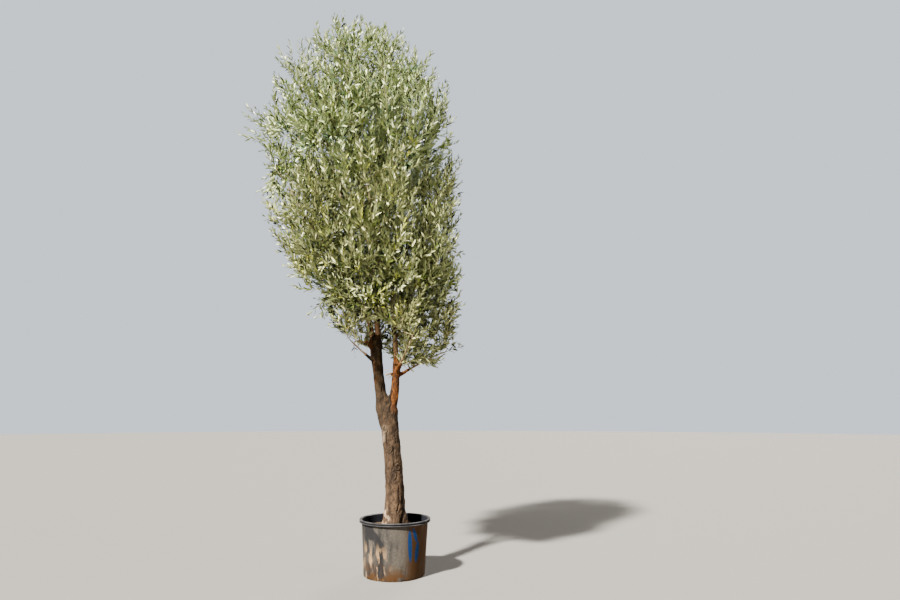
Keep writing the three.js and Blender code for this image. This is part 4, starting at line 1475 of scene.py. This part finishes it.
def build_leaves(look):
    _, foliage = growth()
    # Silver tops stand for painted glints and deep green tops for painted shade.
    tops = {
        GREY: ("grey_green", look.leaf_grey),
        DEEP_SHADED: ("deep_shaded_green", look.leaf_deep),
        FRESH: ("fresh_green", look.leaf_fresh),
        YELLOW: ("yellow_green", look.leaf_yellow),
        GLINT: ("glint_green", look.leaf_silver),
        BLUE: ("blue_green", look.leaf_blue),
    }
    for (tier, tint), groups in sorted(foliage.leaves.items()):
        kind, top = tops[tint]
        name = f"leaves_{tier}_{kind}"
        # The tier's shares add painted shade low in the crown.
        shades = (
            tuple(min(1, part * share) for part, share in zip(colour, TIER_TINTS_AND_SHADE[tier]))
            for colour in (top, look.leaf_underside)
        )
        material = leaf_material(name, *shades)
        finish_piece(leaf_mesh(name, groups), material, nodes_named(f"foliage_{tier}_"))


# Container and soil


def spun(profile, segments):
    """A profile of radius and height in mm, turned once round the upright axis."""
    bm = bmesh.new()
    verts = [bm.verts.new((radius * MM, 0, z * MM)) for radius, z in profile]
    edges = [bm.edges.new(pair) for pair in zip(verts, verts[1:])]
    bmesh.ops.spin(
        bm, geom=verts + edges, cent=(0, 0, 0), axis=(0, 0, 1), angle=TURN, steps=segments, use_merge=True
    )
    bmesh.ops.remove_doubles(bm, verts=bm.verts, dist=1e-6)
    bmesh.ops.recalc_face_normals(bm, faces=bm.faces)
    return bm


def container_profile():
    """Radius and height: out under the foot, up the side, over the grooved rim, and down inside."""
    top, under = POT_HEIGHT, POT_HEIGHT - RIM_HEIGHT
    inner, groove = BODY_RADIUS - POT_WALL, RIM_RADIUS - RIM_GROOVE
    profile = [(0, 0), (BASE_RADIUS - 30, 0), (BASE_RADIUS - FOOT_ROUNDING, 0), (BASE_RADIUS - 2, 2)]
    for share in np.linspace(0.02, 1, 22):
        profile.append((lerp(BASE_RADIUS, BODY_RADIUS, share), lerp(0, under - 6, share)))
    profile += [(BODY_RADIUS + 3, under - 2), (RIM_RADIUS - 9, under), (RIM_RADIUS - 3, under + 2)]
    profile += [(RIM_RADIUS - 0.5, under + 5), (RIM_RADIUS - 3, under + 8), (groove, under + 10)]
    profile += [(groove, top - 11), (RIM_RADIUS - 2, top - 9)]
    for angle in np.radians((30, 60)):
        radius = RIM_RADIUS - RIM_BEAD + RIM_BEAD * math.cos(angle)
        profile.append((radius, top - RIM_BEAD + RIM_BEAD * math.sin(angle)))
    profile += [(RIM_RADIUS - 8, top), (BODY_RADIUS + 6, top), (BODY_RADIUS + 1, top - 2)]
    profile += [(inner + 1, top - 6), (inner, top - 12), (inner, under), (inner - 2, SOIL_TOP - 10)]
    return profile + [(BASE_RADIUS - POT_WALL, POT_WALL), (0, POT_WALL)]


def drained(mesh):
    """The container with its drain holes cut in the edge of its foot."""
    bm = bmesh.new()
    for i in range(DRAIN_HOLES):
        turn = Matrix.Rotation((i + 0.5) / DRAIN_HOLES * TURN, 4, "Z")
        size = Matrix.Diagonal((DRAIN_WIDTH * MM, DRAIN_WIDTH * MM, 2 * DRAIN_HEIGHT * MM, 1))
        place = turn @ Matrix.Translation((BASE_RADIUS * MM, 0, 0)) @ size
        bmesh.ops.create_cube(bm, size=1, matrix=place)
    cutter = object_of(mesh_of(bm, "drain_holes"))
    made = modified(mesh, "BOOLEAN", operation="DIFFERENCE", solver="EXACT", object=cutter)
    bpy.data.objects.remove(cutter)
    return made


def build_container(look):
    mesh = drained(mesh_of(spun(container_profile(), 144), "container"))
    under = POT_HEIGHT - RIM_HEIGHT
    places = places_of(mesh)
    radius = np.hypot(places[:, 0], places[:, 1])
    outward = unit(np.column_stack([places[:, :2], np.zeros(len(places))]) + 1e-9)
    dents = noise_at(places, (210, 210, 260), 6.0) * 3.2
    set_places(mesh, places + outward * (dents * smoothstep(radius, 120, 280))[:, None])
    wall = lerp(BASE_RADIUS, BODY_RADIUS, np.clip(places[:, 2] / under, 0, 1)) - POT_WALL / 2
    paint(mesh, "inside", (radius < wall) & (places[:, 2] > POT_WALL / 2))
    paint(mesh, "rim", (radius > wall) * smoothstep(places[:, 2], under - 4, under + 2))
    shade_smooth(mesh)
    mesh.set_sharp_from_angle(angle=math.radians(34))
    finish_piece(mesh, container_material(look), ("pot",))


def soil_height(share):
    """The soil's height at a share of its radius."""
    return SOIL_TOP - SOIL_FALL * smoothstep(share, SOIL_FALL_FROM, 1.0)


def add_clods(bm, wall, count):
    """Loose crumbs of soil, sunk in a little, none of them under the trunk's middle."""
    random = np.random.default_rng(CLOD_SEED)
    for _ in range(count):
        out, angle = wall * 0.96 * math.sqrt(random.uniform(0.08, 1)), random.uniform(0, TURN)
        size = random.uniform(3, 9)
        z = soil_height(out / wall) + size * 0.2
        place = Matrix.Translation((math.cos(angle) * out * MM, math.sin(angle) * out * MM, z * MM))
        turned = Matrix.Rotation(random.uniform(0, TURN), 4, Vector(random.normal(size=3)).normalized())
        shape = Matrix.Diagonal((size * MM, size * MM * 0.8, size * MM * 0.6, 1))
        bmesh.ops.create_icosphere(bm, subdivisions=1, radius=1, matrix=place @ turned @ shape)


def build_soil(look):
    """Dry soil, uneven and crumbly, that falls a little towards the wall."""
    inset = POT_WALL + SOIL_ROOM
    wall = lerp(BASE_RADIUS, BODY_RADIUS, SOIL_TOP / (POT_HEIGHT - RIM_HEIGHT)) - inset
    profile = [(0, SOIL_TOP)] + [(wall * share, soil_height(share)) for share in np.linspace(0.03, 1, 34)]
    bm = spun(profile + [(BASE_RADIUS - inset, inset), (0, inset)], 120)
    add_clods(bm, wall, look.clods)
    mesh = mesh_of(bm, "soil_surface")
    places = places_of(mesh)
    rough = noise_at(places, (60, 60, 60)) * 7 + noise_at(places, (17, 17, 17), 3.0) * 4
    places[:, 2] += rough * smoothstep(places[:, 2], SOIL_TOP - 30, SOIL_TOP - 20)
    set_places(mesh, places)
    finish_piece(mesh, soil_material(look), ("soil",))


# Stage

CAMERA_PLACE = (0.541, -6.216, 1.5)
FLOOR_RADIUS = 60
# Where each light comes from, its share of the key light's strength, and its softness in degrees.
LIGHTS = {
    "key": ((-0.55, -0.75, 0.85), 1.0, 4),
    "fill": ((0.9, -0.3, 0.5), 0.05, 40),
    "rear": ((0.35, 0.9, 0.6), 0.11, 20),
}


def build_floor(look):
    bm = bmesh.new()
    bmesh.ops.create_circle(bm, cap_ends=True, segments=96, radius=FLOOR_RADIUS)
    mesh = mesh_of(bm, "floor")
    material, nodes, shader = new_surface("pale_floor", 0.9)
    nodes.feed(shader["Base Color"], look.floor_colour)
    mesh.materials.append(material)
    object_of(mesh)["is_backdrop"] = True


def build_backdrop(look):
    """A bright sky for the camera, which lights the tree only a little."""
    world = bpy.data.worlds.new("studio")
    world.use_nodes = True
    nodes = Nodes(world.node_tree)
    background = world.node_tree.nodes["Background"].inputs
    seen = nodes.add("ShaderNodeLightPath").outputs["Is Camera Ray"]
    inputs = {"Value": seen, "To Min": look.ambient, "To Max": look.backdrop_light}
    nodes.feed(background["Color"], look.backdrop_colour)
    nodes.feed(background["Strength"], nodes.add("ShaderNodeMapRange", inputs).outputs["Result"])
    bpy.context.scene.world = world


def build_lights(look):
    for name, (direction, share, softness) in LIGHTS.items():
        light = bpy.data.lights.new(name, "SUN")
        light.energy = look.key_light * share
        light.angle = math.radians(softness)
        light.color = look.light_colour
        lamp = bpy.data.objects.new(name, light)
        lamp.rotation_euler = Vector(direction).to_track_quat("Z", "Y").to_euler()
        bpy.context.scene.collection.objects.link(lamp)


def build_camera(look):
    camera = bpy.data.cameras.new("camera")
    camera.lens = look.lens
    holder = bpy.data.objects.new("camera", camera)
    holder.location = CAMERA_PLACE
    holder.rotation_euler = (math.radians(90) + look.camera_rise, 0, 0)
    bpy.context.scene.collection.objects.link(holder)
    bpy.context.scene.camera = holder


def build_stage(look):
    build_floor(look)
    build_backdrop(look)
    build_lights(look)
    build_camera(look)


# Settings, operators and panel


def colour_property(name, description, default):
    return FloatVectorProperty(
        name=name, description=description, subtype="COLOR", size=3, min=0, max=1, default=default
    )


class ContainerSettings(PropertyGroup):
    plastic: colour_property("Plastic", "Bare plastic of the container", (0.012, 0.012, 0.013))
    dust: colour_property("Dust", "Dust that has settled on the plastic", (0.055, 0.048, 0.0395))
    # The mud's colour is dark partly as painted shade on the right side.
    mud: colour_property("Mud", "Dried soil on the right side and near the ground", (0.042, 0.0185, 0.0045))
    paint: colour_property("Paint", "The dab of paint on the front", (0.0, 0.021, 0.085))
    soil_dark: colour_property("Soil, dark", "Hollows in the soil", (0.02, 0.012, 0.008))
    soil_light: colour_property("Soil, light", "Dry crumbs of soil", (0.12, 0.075, 0.045))
    clods: IntProperty(name="Clods", description="Loose crumbs on the soil", default=420, min=0, max=2000)


class BarkSettings(PropertyGroup):
    bark_dark: colour_property("Bark, dark", "Darker bark of the trunk", (0.014, 0.0084, 0.0048))
    bark_light: colour_property("Bark, light", "Lighter bark of the trunk", (0.078, 0.048, 0.0265))
    ochre: colour_property("Ochre", "Fresh bark near the pruned heads", (0.3, 0.1, 0.01))
    young_dark: colour_property("Boughs, dark", "Darker bark of the boughs", (0.12, 0.085, 0.045))
    young_light: colour_property("Boughs, light", "Lighter bark of the boughs", (0.33, 0.24, 0.13))
    twig_dark: colour_property("Twigs, dark", "Darker bark of the twigs", (0.17, 0.14, 0.06))
    twig_light: colour_property("Twigs, light", "Lighter bark of the twigs", (0.36, 0.31, 0.15))
    fissure_depth: FloatProperty(
        name="Fissure depth", description="How deep the cracks are", subtype="DISTANCE", default=0.0045
    )
    bark_detail: FloatProperty(
        name="Bark detail", description="Size of the bark's faces", subtype="DISTANCE", default=0.0055
    )


class FoliageSettings(PropertyGroup):
    leaf_length: FloatProperty(
        name="Leaf length", description="Length of a full leaf", subtype="DISTANCE", default=0.08
    )
    leaf_slimness: FloatProperty(name="Leaf width", description="Width over length", default=0.265)
    pair_spacing_mm: FloatProperty(
        name="Pair spacing", description="Distance between pairs of leaves, in millimetres", default=35
    )
    side_shoots: IntProperty(name="Side shoots", description="Side shoots on each spray", default=2)
    fine_spacing: FloatProperty(
        name="Twig spacing", description="Distance between fine twigs", subtype="DISTANCE", default=0.14
    )
    low_spacing: FloatProperty(
        name="Low twig spacing", description="The same in the low crown", subtype="DISTANCE", default=0.118
    )
    leaf_grey: colour_property("Grey-green", "Top of an old leaf", (0.074, 0.101, 0.03))
    # Deep green tops are as dark as painted shade.
    leaf_deep: colour_property("Deep green", "Top of a full-grown leaf", (0.0085, 0.0175, 0.002))
    leaf_fresh: colour_property("Fresh green", "Top of a young leaf", (0.115, 0.162, 0.02))
    leaf_yellow: colour_property("Yellow-green", "Top of the newest leaves", (0.4, 0.42, 0.05))
    # Silver tops are painted glints, nearly white, for leaves that catch the light.
    leaf_silver: colour_property("Silver", "Top of a leaf that is pale with wax", (0.86, 0.9, 0.45))
    leaf_blue: colour_property("Blue-green", "Top of a leaf high in the crown", (0.1, 0.165, 0.075))
    leaf_underside: colour_property("Underside", "Silvery underside of every leaf", (0.33, 0.37, 0.15))


class StageSettings(PropertyGroup):
    floor_colour: colour_property("Floor", "Colour of the floor", (0.19, 0.185, 0.176))
    backdrop_colour: colour_property("Backdrop", "Colour behind the tree", (0.72, 0.79, 0.88))
    ambient: FloatProperty(name="Ambient", description="Light from all round", default=0.035)
    backdrop_light: FloatProperty(
        name="Backdrop light", description="Brightness of the backdrop", default=1.3
    )
    key_light: FloatProperty(name="Key light", description="Strength of the main light", default=23.0)
    light_colour: colour_property("Light", "Colour of the lights", (1.0, 0.94, 0.85))
    lens: FloatProperty(
        name="Lens", description="Focal length of the camera", default=24, subtype="DISTANCE_CAMERA"
    )
    camera_rise: FloatProperty(
        name="Camera rise",
        description="How far the camera looks up",
        subtype="ANGLE",
        default=math.radians(11),
    )


class OLIVE_OT_container(Operator):
    """Builds the container with its rolled rim and drain holes"""

    bl_idname = "olive.container"
    bl_label = "Container"

    def execute(self, context):
        build_container(context.scene.olive_container)
        return {"FINISHED"}


class OLIVE_OT_soil(Operator):
    """Builds the soil in the container"""

    bl_idname = "olive.soil"
    bl_label = "Soil"

    def execute(self, context):
        build_soil(context.scene.olive_container)
        return {"FINISHED"}


class OLIVE_OT_trunk(Operator):
    """Builds the trunk, its two pruned stems and the sawn stub, with the relief of the bark"""

    bl_idname = "olive.trunk"
    bl_label = "Trunk"

    def execute(self, context):
        build_trunk(context.scene.olive_bark)
        return {"FINISHED"}


class OLIVE_OT_boughs(Operator):
    """Builds the boughs, which run through their masses of foliage to the tips"""

    bl_idname = "olive.boughs"
    bl_label = "Boughs"

    def execute(self, context):
        build_boughs(context.scene.olive_bark)
        return {"FINISHED"}


class OLIVE_OT_twigs(Operator):
    """Builds the twigs and the slender shoots"""

    bl_idname = "olive.twigs"
    bl_label = "Twigs"

    def execute(self, context):
        build_twigs(context.scene.olive_bark)
        return {"FINISHED"}


class OLIVE_OT_leaves(Operator):
    """Builds the leaves, in pairs along the shoots"""

    bl_idname = "olive.leaves"
    bl_label = "Leaves"

    def execute(self, context):
        build_leaves(context.scene.olive_foliage)
        return {"FINISHED"}


class OLIVE_OT_stage(Operator):
    """Builds the floor, the lights and the camera"""

    bl_idname = "olive.stage"
    bl_label = "Stage"

    def execute(self, context):
        build_stage(context.scene.olive_stage)
        return {"FINISHED"}


OPERATORS = (
    OLIVE_OT_stage,
    OLIVE_OT_container,
    OLIVE_OT_soil,
    OLIVE_OT_trunk,
    OLIVE_OT_boughs,
    OLIVE_OT_twigs,
    OLIVE_OT_leaves,
)
SETTINGS = {
    "olive_container": ContainerSettings,
    "olive_bark": BarkSettings,
    "olive_foliage": FoliageSettings,
    "olive_stage": StageSettings,
}


class OLIVE_PT_tree(Panel):
    """Lists the pieces of the tree and their settings"""

    bl_idname = "OLIVE_PT_tree"
    bl_label = "Potted Olive Tree"
    bl_space_type = "VIEW_3D"
    bl_region_type = "UI"
    bl_category = "Olive Tree"

    def draw(self, context):
        for operator in OPERATORS:
            self.layout.operator(operator.bl_idname)
        for name, group in SETTINGS.items():
            box = self.layout.box()
            for key in group.__annotations__:
                box.prop(getattr(context.scene, name), key)


def register():
    for group in (*SETTINGS.values(), *OPERATORS, OLIVE_PT_tree):
        bpy.utils.register_class(group)
    for name, group in SETTINGS.items():
        setattr(bpy.types.Scene, name, PointerProperty(type=group))


def unregister():
    for name in SETTINGS:
        delattr(bpy.types.Scene, name)
    for group in (OLIVE_PT_tree, *reversed(OPERATORS), *SETTINGS.values()):
        bpy.utils.unregister_class(group)


def main():
    register()
    bpy.ops.olive.stage()
    bpy.ops.olive.container()
    bpy.ops.olive.soil()
    bpy.ops.olive.trunk()
    bpy.ops.olive.boughs()
    bpy.ops.olive.twigs()
    bpy.ops.olive.leaves()
    sizes = {"at_load": SIZE_AT_LOAD, "dressed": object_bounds()}
    {name: [list(corner) for corner in box] for name, box in sizes.items()}


if __name__ == "__main__":
    main()
